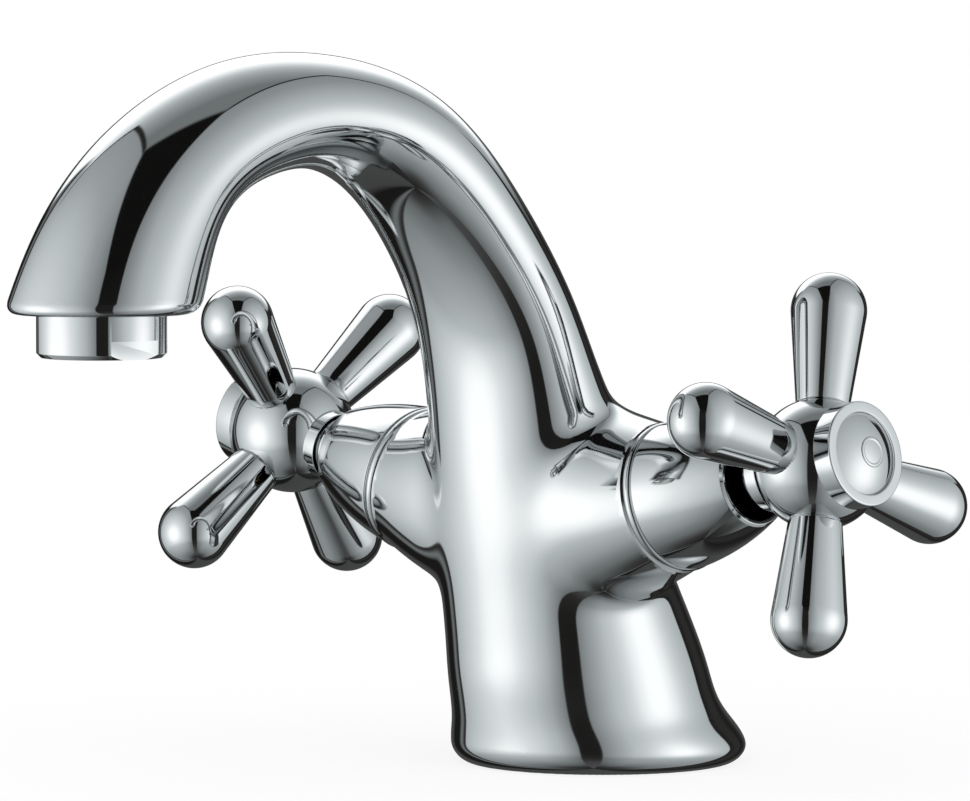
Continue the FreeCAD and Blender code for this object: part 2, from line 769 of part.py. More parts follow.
def handle_hub():
    """Ball hub with its neck, splined bore, screw web and tapped spoke seats."""
    ball = Part.makeSphere(hub_radius, Vec(0, 0, hub_centre))
    ball = ball.cut(drum(hub_radius, ring_foot, ring_top + hub_radius))
    collar_foot = hub_centre - hub_radius - neck_collar_height / 2
    neck = drum(neck_radius, neck_start, hub_centre)
    neck = neck.fuse(drum(neck_radius + neck_collar_step, collar_foot, hub_centre))
    body = ball.fuse(neck)
    cuts = [drum(spline_radius + spline_bore_gap, neck_start - overrun, web_foot),
            drum(screw_radius + fit_gap, web_foot - overrun, web_top + overrun),
            drum(screw_cup_radius, web_top, ring_top + overrun),
            drum(index_seat_radius, ring_foot - index_spigot_length - index_seat_gap, ring_top + overrun)]
    for angle in spoke_angles():
        hole_bottom = spoke_seat - spoke_stud_length - fit_gap
        hole = drum(spoke_stud_radius + fit_gap, hole_bottom, hub_radius + overrun)
        spot = drum(spoke_root_radius + fit_gap, spoke_seat, hub_radius + overrun)
        cuts += [outward(hole, angle), outward(spot, angle)]
    return cut_each(body, cuts)


def handle_spokes():
    """Turned spokes that swell to a round end, each with its threaded stud."""
    rise = spoke_centre - spoke_seat
    swell = spoke_bulb_radius - spoke_root_radius
    lean = math.asin(swell / rise)
    touch = (spoke_bulb_radius * math.cos(lean), spoke_centre - spoke_bulb_radius * math.sin(lean))
    shoulder = (spoke_bulb_radius * math.cos(math.radians(quarter_turn / 2)),
                spoke_centre + spoke_bulb_radius * math.sin(math.radians(quarter_turn / 2)))
    edge = spoke_root_chamfer
    stud_foot = spoke_seat - spoke_stud_length
    spoke = turned_curve((
        (0, stud_foot), (spoke_stud_radius, stud_foot), (spoke_stud_radius, spoke_seat),
        (spoke_root_radius - edge, spoke_seat), (spoke_root_radius, spoke_seat + edge),
        touch, (shoulder, (0, spoke_centre + spoke_bulb_radius))))
    return Part.makeCompound([outward(spoke, angle) for angle in spoke_angles()])


def index_ring():
    """Bezel screwed into the hub's face round the index button."""
    edge = index_ring_edge
    spigot = index_seat_radius - fit_gap
    spigot_foot = ring_foot - index_spigot_length
    outer = index_seat_radius + index_ring_flange
    return turned((
        (spigot - index_spigot_wall, spigot_foot), (spigot, spigot_foot), (spigot, ring_foot),
        (outer, ring_foot), (outer, ring_top - edge), (outer - edge, ring_top),
        (button_recess, ring_top), (button_recess, button_foot), (spigot - index_spigot_wall, button_foot)))


def index_button():
    """Domed cap held in the bezel."""
    radius = button_recess - index_button_gap
    rim = ring_top - index_button_inset
    top = ring_top + index_button_rise
    rise = top - rim
    dome = (radius ** 2 + rise ** 2) / (2 * rise)
    half = math.asin(radius / dome) / 2
    middle = (dome * math.sin(half), top - dome + dome * math.cos(half))
    return turned_curve(((0, button_foot), (radius, button_foot), (radius, rim), (middle, (0, top))))


def handle_screw():
    """Slotted screw that draws the hub down on the spindle."""
    head_top = web_top + screw_head_height
    body = drum(screw_radius, web_top - screw_length, web_top + overrun)
    body = body.fuse(drum(screw_head_radius, web_top, head_top))
    slot = Part.makeBox(2 * screw_head_radius + 2 * overrun, screw_slot_width, screw_slot_depth + overrun,
                        Vec(-screw_head_radius - overrun, -screw_slot_width / 2, head_top - screw_slot_depth))
    return body.cut(slot)


def write(name, solid):
    """Write one piece to its own file and say what it is."""
    solid.exportStep("parts/" + name + ".step")
    print(name, len(solid.Solids), "solid", round(solid.Volume, 1), "mm3", solid.isValid())


def main():
    os.makedirs("parts", exist_ok=True)
    write("mixer_body", mixer_body())
    write("base_gasket", base_gasket())
    write("aerator_housing", aerator_housing())
    write("aerator_insert", aerator_insert())
    write("aerator_screen", aerator_screen())
    write("aerator_seal", aerator_seal())
    still = {
        "lip_seal": lip_seal, "fixed_disc": fixed_disc, "cartridge_body": cartridge_body,
        "cartridge_o_ring": cartridge_o_ring, "thrust_washer": thrust_washer,
        "shroud": shroud, "shroud_seal": shroud_seal}
    turning = {
        "moving_disc": moving_disc, "spindle": spindle, "spindle_o_rings": spindle_o_rings,
        "spindle_clip": spindle_clip, "handle_hub": handle_hub, "handle_spokes": handle_spokes,
        "index_ring": index_ring, "index_button": index_button, "handle_screw": handle_screw}
    sides = (("cold", 1, cold_spoke_turn_deg), ("hot", -1, hot_spoke_turn_deg))
    handle_pieces = ("handle_hub", "handle_spokes")
    for pieces in (still, turning):
        for name, make in pieces.items():
            solid = make()
            for side_name, side, turn in sides:
                write(side_name + "_" + name, place(solid, side, turn if name in handle_pieces else 0))


main()
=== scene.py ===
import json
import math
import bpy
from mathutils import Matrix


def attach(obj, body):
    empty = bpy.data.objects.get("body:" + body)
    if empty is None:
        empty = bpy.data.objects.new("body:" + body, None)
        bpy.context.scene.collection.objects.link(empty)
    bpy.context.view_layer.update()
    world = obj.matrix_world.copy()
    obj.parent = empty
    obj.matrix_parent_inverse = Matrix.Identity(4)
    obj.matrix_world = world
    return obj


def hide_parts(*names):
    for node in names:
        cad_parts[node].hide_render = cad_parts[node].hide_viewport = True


bl_info = {
    "name": "Basin mixer tap",
    "version": (1, 0, 0),
    "blender": (4, 5, 0),
    "location": "3D View > Sidebar > Mixer Tap",
    "description": "Dresses the basin mixer with its plated casting, shrouds, cross handles and studio",
    "category": "Object",
}

import bmesh
import bpy
import numpy as np
from mathutils import Matrix, Vector

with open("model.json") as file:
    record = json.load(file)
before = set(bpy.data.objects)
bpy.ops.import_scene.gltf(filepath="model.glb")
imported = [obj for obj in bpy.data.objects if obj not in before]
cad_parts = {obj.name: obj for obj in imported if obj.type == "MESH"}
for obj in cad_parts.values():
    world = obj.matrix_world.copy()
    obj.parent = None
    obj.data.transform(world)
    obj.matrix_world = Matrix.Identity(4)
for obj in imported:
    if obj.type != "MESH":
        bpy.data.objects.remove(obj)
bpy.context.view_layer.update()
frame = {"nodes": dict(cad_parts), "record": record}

MM = 0.001
FULL_TURN = 2 * math.pi
SIDES = (("cold", 1), ("hot", -1))
# Extra length of a branch, and how far a cutter reaches past what it cuts.
BRANCH_SPARE = 1 * MM
OVER = 1 * MM

# Stations of the casting's spine, as shares of its own sizes. Column rows: shares of the
# valve axes' distance in front of the foot and of their height, shares of the way from the
# spout's width and depth to the foot's, and how far the section leans with the spine.
COLUMN_SHARES = (
    (0.018, 0.000, 1.000, 1.000, 0.00),
    (0.046, 0.104, 1.000, 1.000, 0.00),
    (0.231, 0.213, 0.849, 0.878, 0.10),
    (0.408, 0.369, 0.765, 0.797, 0.35),
    (0.675, 0.612, 0.670, 0.661, 0.75),
    (0.950, 0.887, 0.599, 0.520, 1.00),
)
# Arch rows: shares taken on from the valve axes to the outlet and to the crown.
ARCH_SHARES = (
    (0.042, 0.155, 0.466, 0.344, 1.00),
    (0.075, 0.282, 0.342, 0.189, 1.00),
    (0.123, 0.447, 0.238, 0.063, 1.00),
    (0.217, 0.637, 0.119, 0.023, 1.00),
    (0.369, 0.814, 0.038, 0.030, 1.00),
)
# Fall rows: heights measured up from the outlet, widths towards the outlet's diameter.
FALL_SHARES = (
    (0.532, 0.760, 0.000, 0.000, 1.00),
    (0.696, 0.734, 0.000, 0.060, 1.00),
    (0.860, 0.538, 0.080, 0.213, 1.00),
    (0.952, 0.253, 0.500, 0.707, 0.70),
)
# Branch rows: share of its length, and shares from the end radius to the root's height,
# depth and lift.
BRANCH_SHARES = (
    (0.00, 1.00, 1.00, 0.85),
    (0.33, 0.80, 0.95, 1.00),
    (0.60, 0.47, 0.80, 0.62),
    (0.82, 0.20, 0.40, 0.20),
)


def linear(text):
    """Scene-linear colour of an sRGB hex value."""
    parts = [int(text[start:start + 2], 16) / 255 for start in (1, 3, 5)]
    return tuple(c / 12.92 if c <= 0.04045 else ((c + 0.055) / 1.055) ** 2.4 for c in parts) + (1.0,)


def length(name, description, value):
    """A length property. The value is in millimetres."""
    return bpy.props.FloatProperty(name=name, description=description, default=value * MM,
                                   unit="LENGTH", subtype="DISTANCE", precision=5)


def angle(name, description, value):
    """An angle property. The value is in degrees."""
    return bpy.props.FloatProperty(name=name, description=description, default=math.radians(value),
                                   unit="ROTATION", subtype="ANGLE")


def colour(name, description, value):
    """A colour property. The value is an sRGB hex text."""
    return bpy.props.FloatVectorProperty(name=name, description=description, default=linear(value),
                                         size=4, subtype="COLOR", min=0, max=1)


class CastingSizes(bpy.types.PropertyGroup):
    """Sizes of the casting, outside and in."""
    crown_height: length("Crown height", "Deck to the top of the arch", 146.9)
    spout_reach: length("Spout reach", "Foot centre to the middle of the outlet", 138.5)
    outlet_drop: length("Outlet drop", "Top of the arch to the flat rim of the outlet", 49.9)
    foot_width: length("Foot width", "Left to right", 60.8)
    foot_depth: length("Foot depth", "Front to back", 59.8)
    spout_width: length("Spout width", "Left to right at the crown", 32.4)
    spout_depth: length("Spout depth", "Top to bottom at the crown", 22.8)
    outlet_diameter: length("Outlet diameter", "Across the flared end of the spout", 37.8)
    foot_edge: length("Foot edge", "Radius of the foot's lower edge", 4.6)
    outlet_edge: length("Outlet edge", "Radius of the outlet's rim", 2.6)
    axis_forward: length("Axis forward", "Valve axes in front of the foot centre", 15.6)
    axis_height: length("Axis height", "Height at which the valve axes meet", 49.2)
    axis_tilt: angle("Axis tilt", "Both valve axes rise outwards", 12.4)
    branch_end: length("Branch end", "Meeting point of the axes to the branch's end", 36.6)
    branch_height: length("Branch height", "Half height where the branch meets the column", 25.0)
    branch_depth: length("Branch depth", "Half depth where the branch meets the column", 18.2)
    branch_lift: length("Branch lift", "How much higher the root is blended above", 2.4)
    branch_radius: length("Branch radius", "Radius of the branch at its end", 15.2)
    branch_lip: length("Branch lip", "Straight rim behind the shroud", 0.9)
    branch_blend: length("Branch blend", "Size of the soft blend between branch and column", 5.0)
    spigot_radius: length("Spigot radius", "Spigot that carries the shroud", 12.6)
    spigot_length: length("Spigot length", "Length of the spigot", 4.0)
    pocket_height: length("Pocket height", "Height of the hollow under the foot", 30.0)
    pocket_wall_foot: length("Foot wall", "Foot's outline to the hollow at the deck", 10.4)
    pocket_wall_top: length("Column wall", "Column's side to the hollow at its top", 5.4)
    inlet_radius: length("Inlet radius", "Threaded hole of each inlet", 4.46)
    inlet_aside: length("Inlet aside", "Foot centre to an inlet, left and right", 9.5)
    inlet_forward: length("Inlet forward", "Inlets in front of the foot centre", 5.0)
    stud_radius: length("Stud hole radius", "Threaded hole of the mounting stud", 3.4)
    stud_back: length("Stud back", "Stud's hole behind the foot centre", 10.5)
    boss_wall: length("Boss wall", "Metal round the threaded holes", 3.7)
    gasket_edge: length("Gasket edge", "Foot's outline to the gasket's groove", 5.9)
    gasket_width: length("Groove width", "Width of the gasket's groove", 3.0)
    gasket_depth: length("Groove depth", "Depth of the gasket's groove", 2.2)


class HandleSizes(bpy.types.PropertyGroup):
    """Sizes of the shrouds and cross handles, measured out along the valve axis."""
    shroud_length: length("Shroud length", "Branch end to the shroud's rim", 22.2)
    shroud_rim: length("Rim radius", "Outer radius of the shroud's rim", 9.6)
    shroud_bulge: length("Shroud bulge", "How far the shroud's side swells", 0.75)
    shroud_wall: length("Shroud wall", "Thickness of the shroud", 1.3)
    bead_height: length("Bead height", "Rounded bead at the shroud's foot", 1.8)
    bead_groove: length("Bead groove", "Height and depth of the groove above the bead", 0.5)
    hub_centre: length("Hub centre", "Meeting point of the axes to the hub's centre", 76.5)
    hub_radius: length("Hub radius", "Radius of the ball hub", 13.1)
    neck_radius: length("Neck radius", "Neck under the hub", 6.2)
    neck_start: length("Neck start", "Lower end of the neck", 57.2)
    collar_step: length("Collar step", "How far the collar stands out of the neck", 1.0)
    collar_height: length("Collar height", "Height of the collar under the ball", 1.6)
    spoke_root: length("Spoke root radius", "Radius where the spoke meets the hub", 5.4)
    spoke_centre: length("Spoke centre", "Hub centre to the middle of the spoke's round end", 32.0)
    spoke_bulb: length("Spoke end radius", "Radius of the spoke's round end", 7.6)
    spoke_count: bpy.props.IntProperty(name="Spokes", description="Spokes of each handle", default=4, min=1)
    cold_turn: angle("Cold turn", "How the cold handle's spokes stand at rest", -18.2)
    hot_turn: angle("Hot turn", "How the hot handle's spokes stand at rest", 49.2)
    ring_radius: length("Bezel radius", "Outer radius of the bezel", 10.5)
    ring_face: length("Bezel face", "Hub centre to the bezel's face", 12.7)
    ring_height: length("Bezel height", "Height of the bezel above the hub", 4.4)
    button_rise: length("Button rise", "Top of the domed button above the bezel", 2.0)
    mark_radius: length("Mark radius", "Middle of the plain raised ring on the button", 2.7)
    mark_width: length("Mark width", "Width of the raised ring", 0.8)
    mark_height: length("Mark height", "How far the ring stands out of the dome", 0.18)


class Finishes(bpy.types.PropertyGroup):
    """Colours of the finishes, and of the painted shade in the shrouds."""
    chrome: colour("Chrome", "Bright chrome plating", "#D6D8D9")
    # Painted shade: a near-black colour for the inside of the shrouds, so the gap round the neck stays dark.
    unpolished: colour("Unpolished plating", "Thin dull plating inside the shrouds", "#3C3D3E")
    # Painted shade: a brownish black for the valve's headwork in the gap under the shroud.
    blackened: colour("Blackened brass", "Darkened headwork of the valves", "#2B2926")
    brass: colour("Brass", "Machined brass", "#C9A45C")
    ceramic: colour("Ceramic", "Ground alumina", "#E9E4DA")
    rubber: colour("Rubber", "Black sealing rubber", "#1B1B1C")
    plastic: colour("Plastic", "Milky acetal", "#E4E2DA")
    steel: colour("Steel", "Stainless steel", "#A9A9A6")


class Studio(bpy.types.PropertyGroup):
    """Camera and surroundings."""
    azimuth: angle("Azimuth", "Camera round the tap, from the front", 44.67)
    elevation: angle("Elevation", "Camera above the horizon", 3.45)
    distance: length("Distance", "Camera to its target", 1573.7)
    target: bpy.props.FloatVectorProperty(name="Target", description="Spot that the camera looks at",
                                          default=(0, -33.62 * MM, 75.8 * MM), unit="LENGTH",
                                          subtype="TRANSLATION", precision=5)
    tent_radius: length("Tent radius", "Radius of the light tent", 500.0)
    lens: bpy.props.FloatProperty(name="Lens", description="Focal length in millimetres on a 36 mm sensor",
                                  default=289.1, unit="CAMERA")
    brightness: bpy.props.FloatProperty(name="Brightness", default=1.5, min=0,
                                        description="Strength of the lit screens in reflections")
    floor_size: length("Floor size", "Side of the floor", 80000.0)
    floor: colour("Floor", "Matt white card", "#FBFBFB")


# Helpers for nodes and meshes

def add(tree, kind, inputs=None, stops=(), **settings):
    """Add a node with its settings and colour stops, then its inputs as values or links."""
    node = tree.nodes.new(kind)
    for key, value in settings.items():
        setattr(node, key, value)
    for key, value in (inputs or {}).items():
        if isinstance(value, bpy.types.NodeSocket):
            tree.links.new(value, node.inputs[key])
        else:
            node.inputs[key].default_value = value
    for _ in stops[2:]:
        node.color_ramp.elements.new(1.0)
    for index, (position, tint) in enumerate(stops):
        node.color_ramp.elements[index].position = position
        node.color_ramp.elements[index].color = tint
    return node


def new_object(name, mesh):
    """Link a new object that holds a mesh."""
    obj = bpy.data.objects.new(name, mesh)
    bpy.context.scene.collection.objects.link(obj)
    return obj


def mesh_of(name, points, faces):
    """A mesh from points and faces."""
    mesh = bpy.data.meshes.new(name)
    mesh.from_pydata([tuple(point) for point in points], [], faces)
    mesh.validate()
    return mesh


def facing_out(mesh):
    """Turn the faces of a closed mesh outwards."""
    made = bmesh.new()
    made.from_mesh(mesh)
    bmesh.ops.recalc_face_normals(made, faces=made.faces)
    made.to_mesh(mesh)
    made.free()
    return mesh


def baked(obj):
    """Replace an object's mesh by its evaluated one and drop the modifiers."""
    bpy.context.view_layer.update()
    graph = bpy.context.evaluated_depsgraph_get()
    mesh = bpy.data.meshes.new_from_object(obj.evaluated_get(graph))
    obj.modifiers.clear()
    obj.data = mesh
    return obj


def discard(*objects):
    """Remove helper objects."""
    for obj in objects:
        bpy.data.objects.remove(obj)


def arc(start, middle, end, steps):
    """Points after start along the circle through three (radius, height) points."""
    a, b, c = (Vector(p) for p in (start, middle, end))
    ab, ac = b - a, c - a
    cross = 2 * ab.cross(ac)
    shift = Vector((ac.y * ab.length_squared - ab.y * ac.length_squared,
                    ab.x * ac.length_squared - ac.x * ab.length_squared)) / cross
    centre = a + shift
    first = math.atan2(a.y - centre.y, a.x - centre.x)
    sweep = (math.atan2(c.y - centre.y, c.x - centre.x) - first) % FULL_TURN
    if (math.atan2(b.y - centre.y, b.x - centre.x) - first) % FULL_TURN > sweep:
        sweep -= FULL_TURN
    radius = shift.length
    angles = [first + sweep * step / steps for step in range(1, steps + 1)]
    return [(centre.x + radius * math.cos(t), centre.y + radius * math.sin(t)) for t in angles]


def softened(corners, steps=5):
    """Points of a closed outline. A corner of (radius, height, edge) is rounded by edge."""
    longest_share = 0.49
    points = []
    count = len(corners)
    for index, corner in enumerate(corners):
        here = Vector(corner[:2])
        if len(corner) < 3:
            points.append(tuple(here))
            continue
        before = Vector(corners[index - 1][:2]) - here
        after = Vector(corners[(index + 1) % count][:2]) - here
        half = before.angle(after) / 2
        back = min(corner[2] / math.tan(half), before.length * longest_share, after.length * longest_share)
        start = here + before.normalized() * back
        end = here + after.normalized() * back
        for step in range(steps + 1):
            t = step / steps
            points.append(tuple(start * (1 - t) ** 2 + here * 2 * t * (1 - t) + end * t ** 2))
    return points


def turned(name, outline, segments):
    """A closed outline of (radius, height) points turned about Z into a closed mesh."""
    axis_reach = 1e-7
    spots = []
    faces = []
    rings = []
    for radius, height in outline:
        if radius < axis_reach:
            rings.append([len(spots)] * segments)
            spots.append((0, 0, height))
        else:
            rings.append(list(range(len(spots), len(spots) + segments)))
            for index in range(segments):
                angle = FULL_TURN * index / segments
                spots.append((radius * math.cos(angle), radius * math.sin(angle), height))
    for lower, upper in zip(rings, rings[1:] + rings[:1]):
        if lower[0] == lower[1] and upper[0] == upper[1]:
            continue
        for index in range(segments):
            after = (index + 1) % segments
            face = [lower[index], lower[after], upper[after], upper[index]]
            faces.append(tuple(dict.fromkeys(face)))
    return facing_out(mesh_of(name, spots, faces))


def smooth(mesh, angle=math.radians(28)):
    """Shade a mesh smooth with sharp edges past an angle."""
    mesh.shade_smooth()
    mesh.set_sharp_from_angle(angle=angle)
    return mesh


def valve_frame(side, turn=0.0):
    """Matrix that lays a piece made about Z on a valve axis, as the frame has it."""
    sizes = bpy.context.scene.tap_casting
    lean_x, lean_z = math.sin(sizes.axis_tilt), math.cos(sizes.axis_tilt)
    up = Vector((-side * lean_x, 0, lean_z))
    out = Vector((side * lean_z, 0, lean_x))
    across = out.cross(up)
    frame_of_axis = Matrix((up, across, out)).transposed().to_4x4()
    return (Matrix.Translation((0, -sizes.axis_forward, sizes.axis_height)) @ frame_of_axis
            @ Matrix.Rotation(turn, 4, "Z"))


def tube(rings):
    """Points and faces of a closed tube through rings of points."""
    count = len(rings[0])
    points = [point for ring in rings for point in ring]
    faces = []
    for level in range(len(rings) - 1):
        low, high = level * count, (level + 1) * count
        for index in range(count):
            after = (index + 1) % count
            faces.append((low + index, low + after, high + after, high + index))
    faces.append(tuple(reversed(range(count))))
    faces.append(tuple(range(len(points) - count, len(points))))
    return points, faces


def joined(name, parts):
    """One mesh from several (points, faces) parts, faces turned outwards."""
    points, faces = [], []
    for part_points, part_faces in parts:
        base = len(points)
        points += list(part_points)
        faces += [tuple(index + base for index in face) for face in part_faces]
    return facing_out(mesh_of(name, points, faces))


def cut(obj, cutters):
    """Subtract cutter objects from an object, one after another."""
    for cutter in cutters:
        step = obj.modifiers.new("cut", "BOOLEAN")
        step.operation = "DIFFERENCE"
        step.solver = "MANIFOLD"
        step.object = cutter
    baked(obj)
    discard(*cutters)
    return obj


def finish_piece(obj, body, slot, nodes, *materials):
    """Give a piece its materials, hang it on what it rides on and hide the frame's parts that it stands for.
    """
    obj.data.materials.clear()
    for material in materials:
        obj.data.materials.append(material)
    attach(obj, body)
    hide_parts(*nodes)
    return obj


# Shape of the casting

class Smooth:
    """Natural cubic curve through rows of values."""

    def __init__(self, knots, rows):
        self.knots = np.asarray(knots, float)
        self.rows = np.asarray(rows, float)
        step = np.diff(self.knots)
        count = len(self.knots)
        system = np.eye(count)
        right = np.zeros_like(self.rows)
        slope = np.diff(self.rows, axis=0) / step[:, None]
        for k in range(1, count - 1):
            system[k, k - 1:k + 2] = step[k - 1], 2 * (step[k - 1] + step[k]), step[k]
            right[k] = 6 * (slope[k] - slope[k - 1])
        self.bend = np.linalg.solve(system, right)

    def at(self, where):
        """Values and slopes at parameters inside the knots."""
        where = np.clip(where, self.knots[0], self.knots[-1])
        k = np.clip(np.searchsorted(self.knots, where) - 1, 0, len(self.knots) - 2)
        wide = (self.knots[k + 1] - self.knots[k])[:, None]
        after = (where - self.knots[k])[:, None]
        before = wide - after
        low, high = self.rows[k], self.rows[k + 1]
        bend_low, bend_high = self.bend[k], self.bend[k + 1]
        values = ((bend_low * before ** 3 + bend_high * after ** 3) / (6 * wide)
                  + (low / wide - bend_low * wide / 6) * before
                  + (high / wide - bend_high * wide / 6) * after)
        slopes = ((bend_high * after ** 2 - bend_low * before ** 2) / (2 * wide)
                  + (high - low) / wide - (bend_high - bend_low) * wide / 6)
        return values, slopes


class CastingShape:
    """The casting's skin as the zero level of a distance, for shaping and for its normals."""

    def __init__(self, sizes):
        self.sizes = sizes
        self.spine = self.make_spine()
        self.branch = self.make_branch()
        sample_count = 300
        self.samples = np.linspace(0, self.spine.knots[-1], sample_count)
        self.sample_rows = self.spine.at(self.samples)[0]

    def make_spine(self):
        """Centre, half width, half depth and direction along the casting."""
        s = self.sizes
        rows = []
        leans = []

        def station(y, z, wide, deep, lean, end_width, end_depth):
            rows.append((-y, z, (s.spout_width + wide * (end_width - s.spout_width)) / 2,
                         (s.spout_depth + deep * (end_depth - s.spout_depth)) / 2))
            leans.append(lean)

        for y, z, wide, deep, lean in COLUMN_SHARES:
            station(y * s.axis_forward, z * s.axis_height, wide, deep, lean, s.foot_width, s.foot_depth)
        onward = s.spout_reach - s.axis_forward
        for y, z, wide, deep, lean in ARCH_SHARES:
            station(s.axis_forward + y * onward, s.axis_height + z * (s.crown_height - s.axis_height),
                    wide, deep, lean, s.foot_width, s.foot_depth)
        outlet_height = s.crown_height - s.outlet_drop
        end = s.outlet_diameter
        for y, z, wide, deep, lean in FALL_SHARES:
            station(s.axis_forward + y * onward, outlet_height + z * s.outlet_drop,
                    wide, deep, lean, end, end)
        station(s.spout_reach, outlet_height, 1, 1, 0, end, end)
        rows = np.array(rows)
        gaps = np.linalg.norm(np.diff(rows[:, :2], axis=0), axis=1)
        knots = np.concatenate(([0], np.cumsum(gaps)))
        slopes = Smooth(knots, rows[:, :2]).at(knots)[1]
        slopes /= np.linalg.norm(slopes, axis=1)[:, None]
        leans = np.array(leans)[:, None]
        upright = np.column_stack((np.zeros(len(rows)), np.sign(slopes[:, 1])))
        ways = slopes * leans + upright * (1 - leans)
        angles = np.unwrap(np.arctan2(ways[:, 1], ways[:, 0]))
        return Smooth(knots, np.column_stack((rows, angles)))

    def make_branch(self):
        """Half height, half depth and lift along a branch."""
        s = self.sizes
        knots, rows = [], []
        for along, high, deep, lift in BRANCH_SHARES:
            knots.append(along * s.branch_end)
            rows.append((s.branch_radius + high * (s.branch_height - s.branch_radius),
                         s.branch_radius + deep * (s.branch_depth - s.branch_radius),
                         lift * s.branch_lift))
        knots.append(s.branch_end - s.branch_lip)
        rows.append((s.branch_radius, s.branch_radius, 0))
        return Smooth(knots, rows)

    def oval(self, u, v, half_u, half_v):
        """First order distance to an oval."""
        tiny = 1e-9
        share = np.sqrt((u / half_u) ** 2 + (v / half_v) ** 2) + tiny
        slope = np.sqrt((u / half_u ** 2) ** 2 + (v / half_v ** 2) ** 2) / share + tiny
        return (share - 1) / slope

    def swept(self, points):
        """Distance to the column, arch and spout: the nearest station is found among samples,
        then Newton steps bring it level with each point."""
        s = self.sizes
        points_at_once, newton_steps, least_change = 20000, 6, 0.2
        x, y, z = points.T
        near = np.empty(len(points), int)
        for start in range(0, len(points), points_at_once):
            part = slice(start, start + points_at_once)
            gap = ((y[part, None] - self.sample_rows[None, :, 0]) ** 2
                   + (z[part, None] - self.sample_rows[None, :, 1]) ** 2)
            near[part] = gap.argmin(axis=1)
        where = self.samples[near]
        last = self.spine.knots[-1]
        for _ in range(newton_steps):
            rows, slopes = self.spine.at(where)
            cy, cz, angle = rows.T[[0, 1, 4]]
            sy, sz, turning = slopes.T[[0, 1, 4]]
            dy, dz = np.cos(angle), np.sin(angle)
            off = (y - cy) * dy + (z - cz) * dz
            change = -(sy * dy + sz * dz) + ((z - cz) * dy - (y - cy) * dz) * turning
            where = np.clip(where - off / np.minimum(change, -least_change), 0, last)
        cy, cz, half_width, half_depth, angle = self.spine.at(where)[0].T
        depth = (z - cz) * np.cos(angle) - (y - cy) * np.sin(angle)
        side = self.oval(x, depth, half_width, half_depth)
        at_foot = where < last / 2
        cap = np.where(at_foot, -z, s.crown_height - s.outlet_drop - z)
        edge = np.where(at_foot, s.foot_edge, s.outlet_edge)
        corner = np.sqrt(np.maximum(side + edge, 0) ** 2 + np.maximum(cap + edge, 0) ** 2) - edge
        return np.where((side > -edge) | (cap > -edge), corner, np.maximum(side, cap))

    def branched(self, points):
        """Distance to the branches, the same on both sides."""
        s = self.sizes
        x, y, z = np.abs(points[:, 0]), points[:, 1], points[:, 2] - s.axis_height
        tilt = s.axis_tilt
        along = x * math.cos(tilt) + z * math.sin(tilt)
        up = z * math.cos(tilt) - x * math.sin(tilt)
        half_height, half_depth, lift = self.branch.at(along)[0].T
        side = self.oval(up - lift, y + s.axis_forward, half_height, half_depth)
        return np.maximum(side, np.maximum(along - s.branch_end - s.spigot_length - BRANCH_SPARE, -along))

    def distance(self, points):
        """Distance to the whole skin, branches blended into the column."""
        column, branch = self.swept(points), self.branched(points)
        near = np.maximum(self.sizes.branch_blend - np.abs(column - branch), 0) / self.sizes.branch_blend
        return np.minimum(column, branch) - near ** 3 * self.sizes.branch_blend / 6

    def slope(self, points, reach=0.01 * MM):
        """Slope of the distance, which is the skin's normal."""
        made = np.empty_like(points)
        for axis in range(3):
            shift = np.zeros(3)
            shift[axis] = reach
            made[:, axis] = (self.distance(points + shift) - self.distance(points - shift)) / (2 * reach)
        return made

    def settle(self, points, rounds=5, least_square=0.05):
        """Move points onto the skin."""
        for _ in range(rounds):
            slope = self.slope(points)
            square = np.maximum((slope ** 2).sum(axis=1), least_square)
            points = points - slope * (self.distance(points) / square)[:, None]
        return points

    def rough_tubes(self):
        """Closed tubes near the skin, to be remeshed into one."""
        count, station_count, branch_rings = 48, 90, 14
        parts = []
        turn = np.linspace(0, FULL_TURN, count, endpoint=False)
        rings = []
        stations = np.linspace(0, self.spine.knots[-1], station_count)
        for cy, cz, half_width, half_depth, angle in self.spine.at(stations)[0]:
            depth = half_depth * np.sin(turn)
            rings.append(np.column_stack((half_width * np.cos(turn), cy - depth * math.sin(angle),
                                          cz + depth * math.cos(angle))))
        parts.append(tube(rings))
        s = self.sizes
        for _, side in SIDES:
            place = np.array(valve_frame(side))
            rings = []
            for along in np.linspace(0, s.branch_end + s.spigot_length + BRANCH_SPARE, branch_rings):
                half_height, half_depth, lift = self.branch.at(np.array([along]))[0][0]
                ring = np.column_stack((lift + half_height * np.cos(turn), half_depth * np.sin(turn),
                                        np.full(count, along), np.ones(count)))
                rings.append((ring @ place.T)[:, :3])
            parts.append(tube(rings))
        return joined("casting", parts)


def turned_cutter(outline, matrix, segments=96):
    """A turned solid laid by a matrix, to cut with."""
    mesh = turned("cutter", outline, segments)
    mesh.transform(matrix)
    return new_object("cutter", mesh)


def column_of(radius, foot, top):
    """Outline of a plain cylinder."""
    return [(0, foot), (radius, foot), (radius, top), (0, top)]


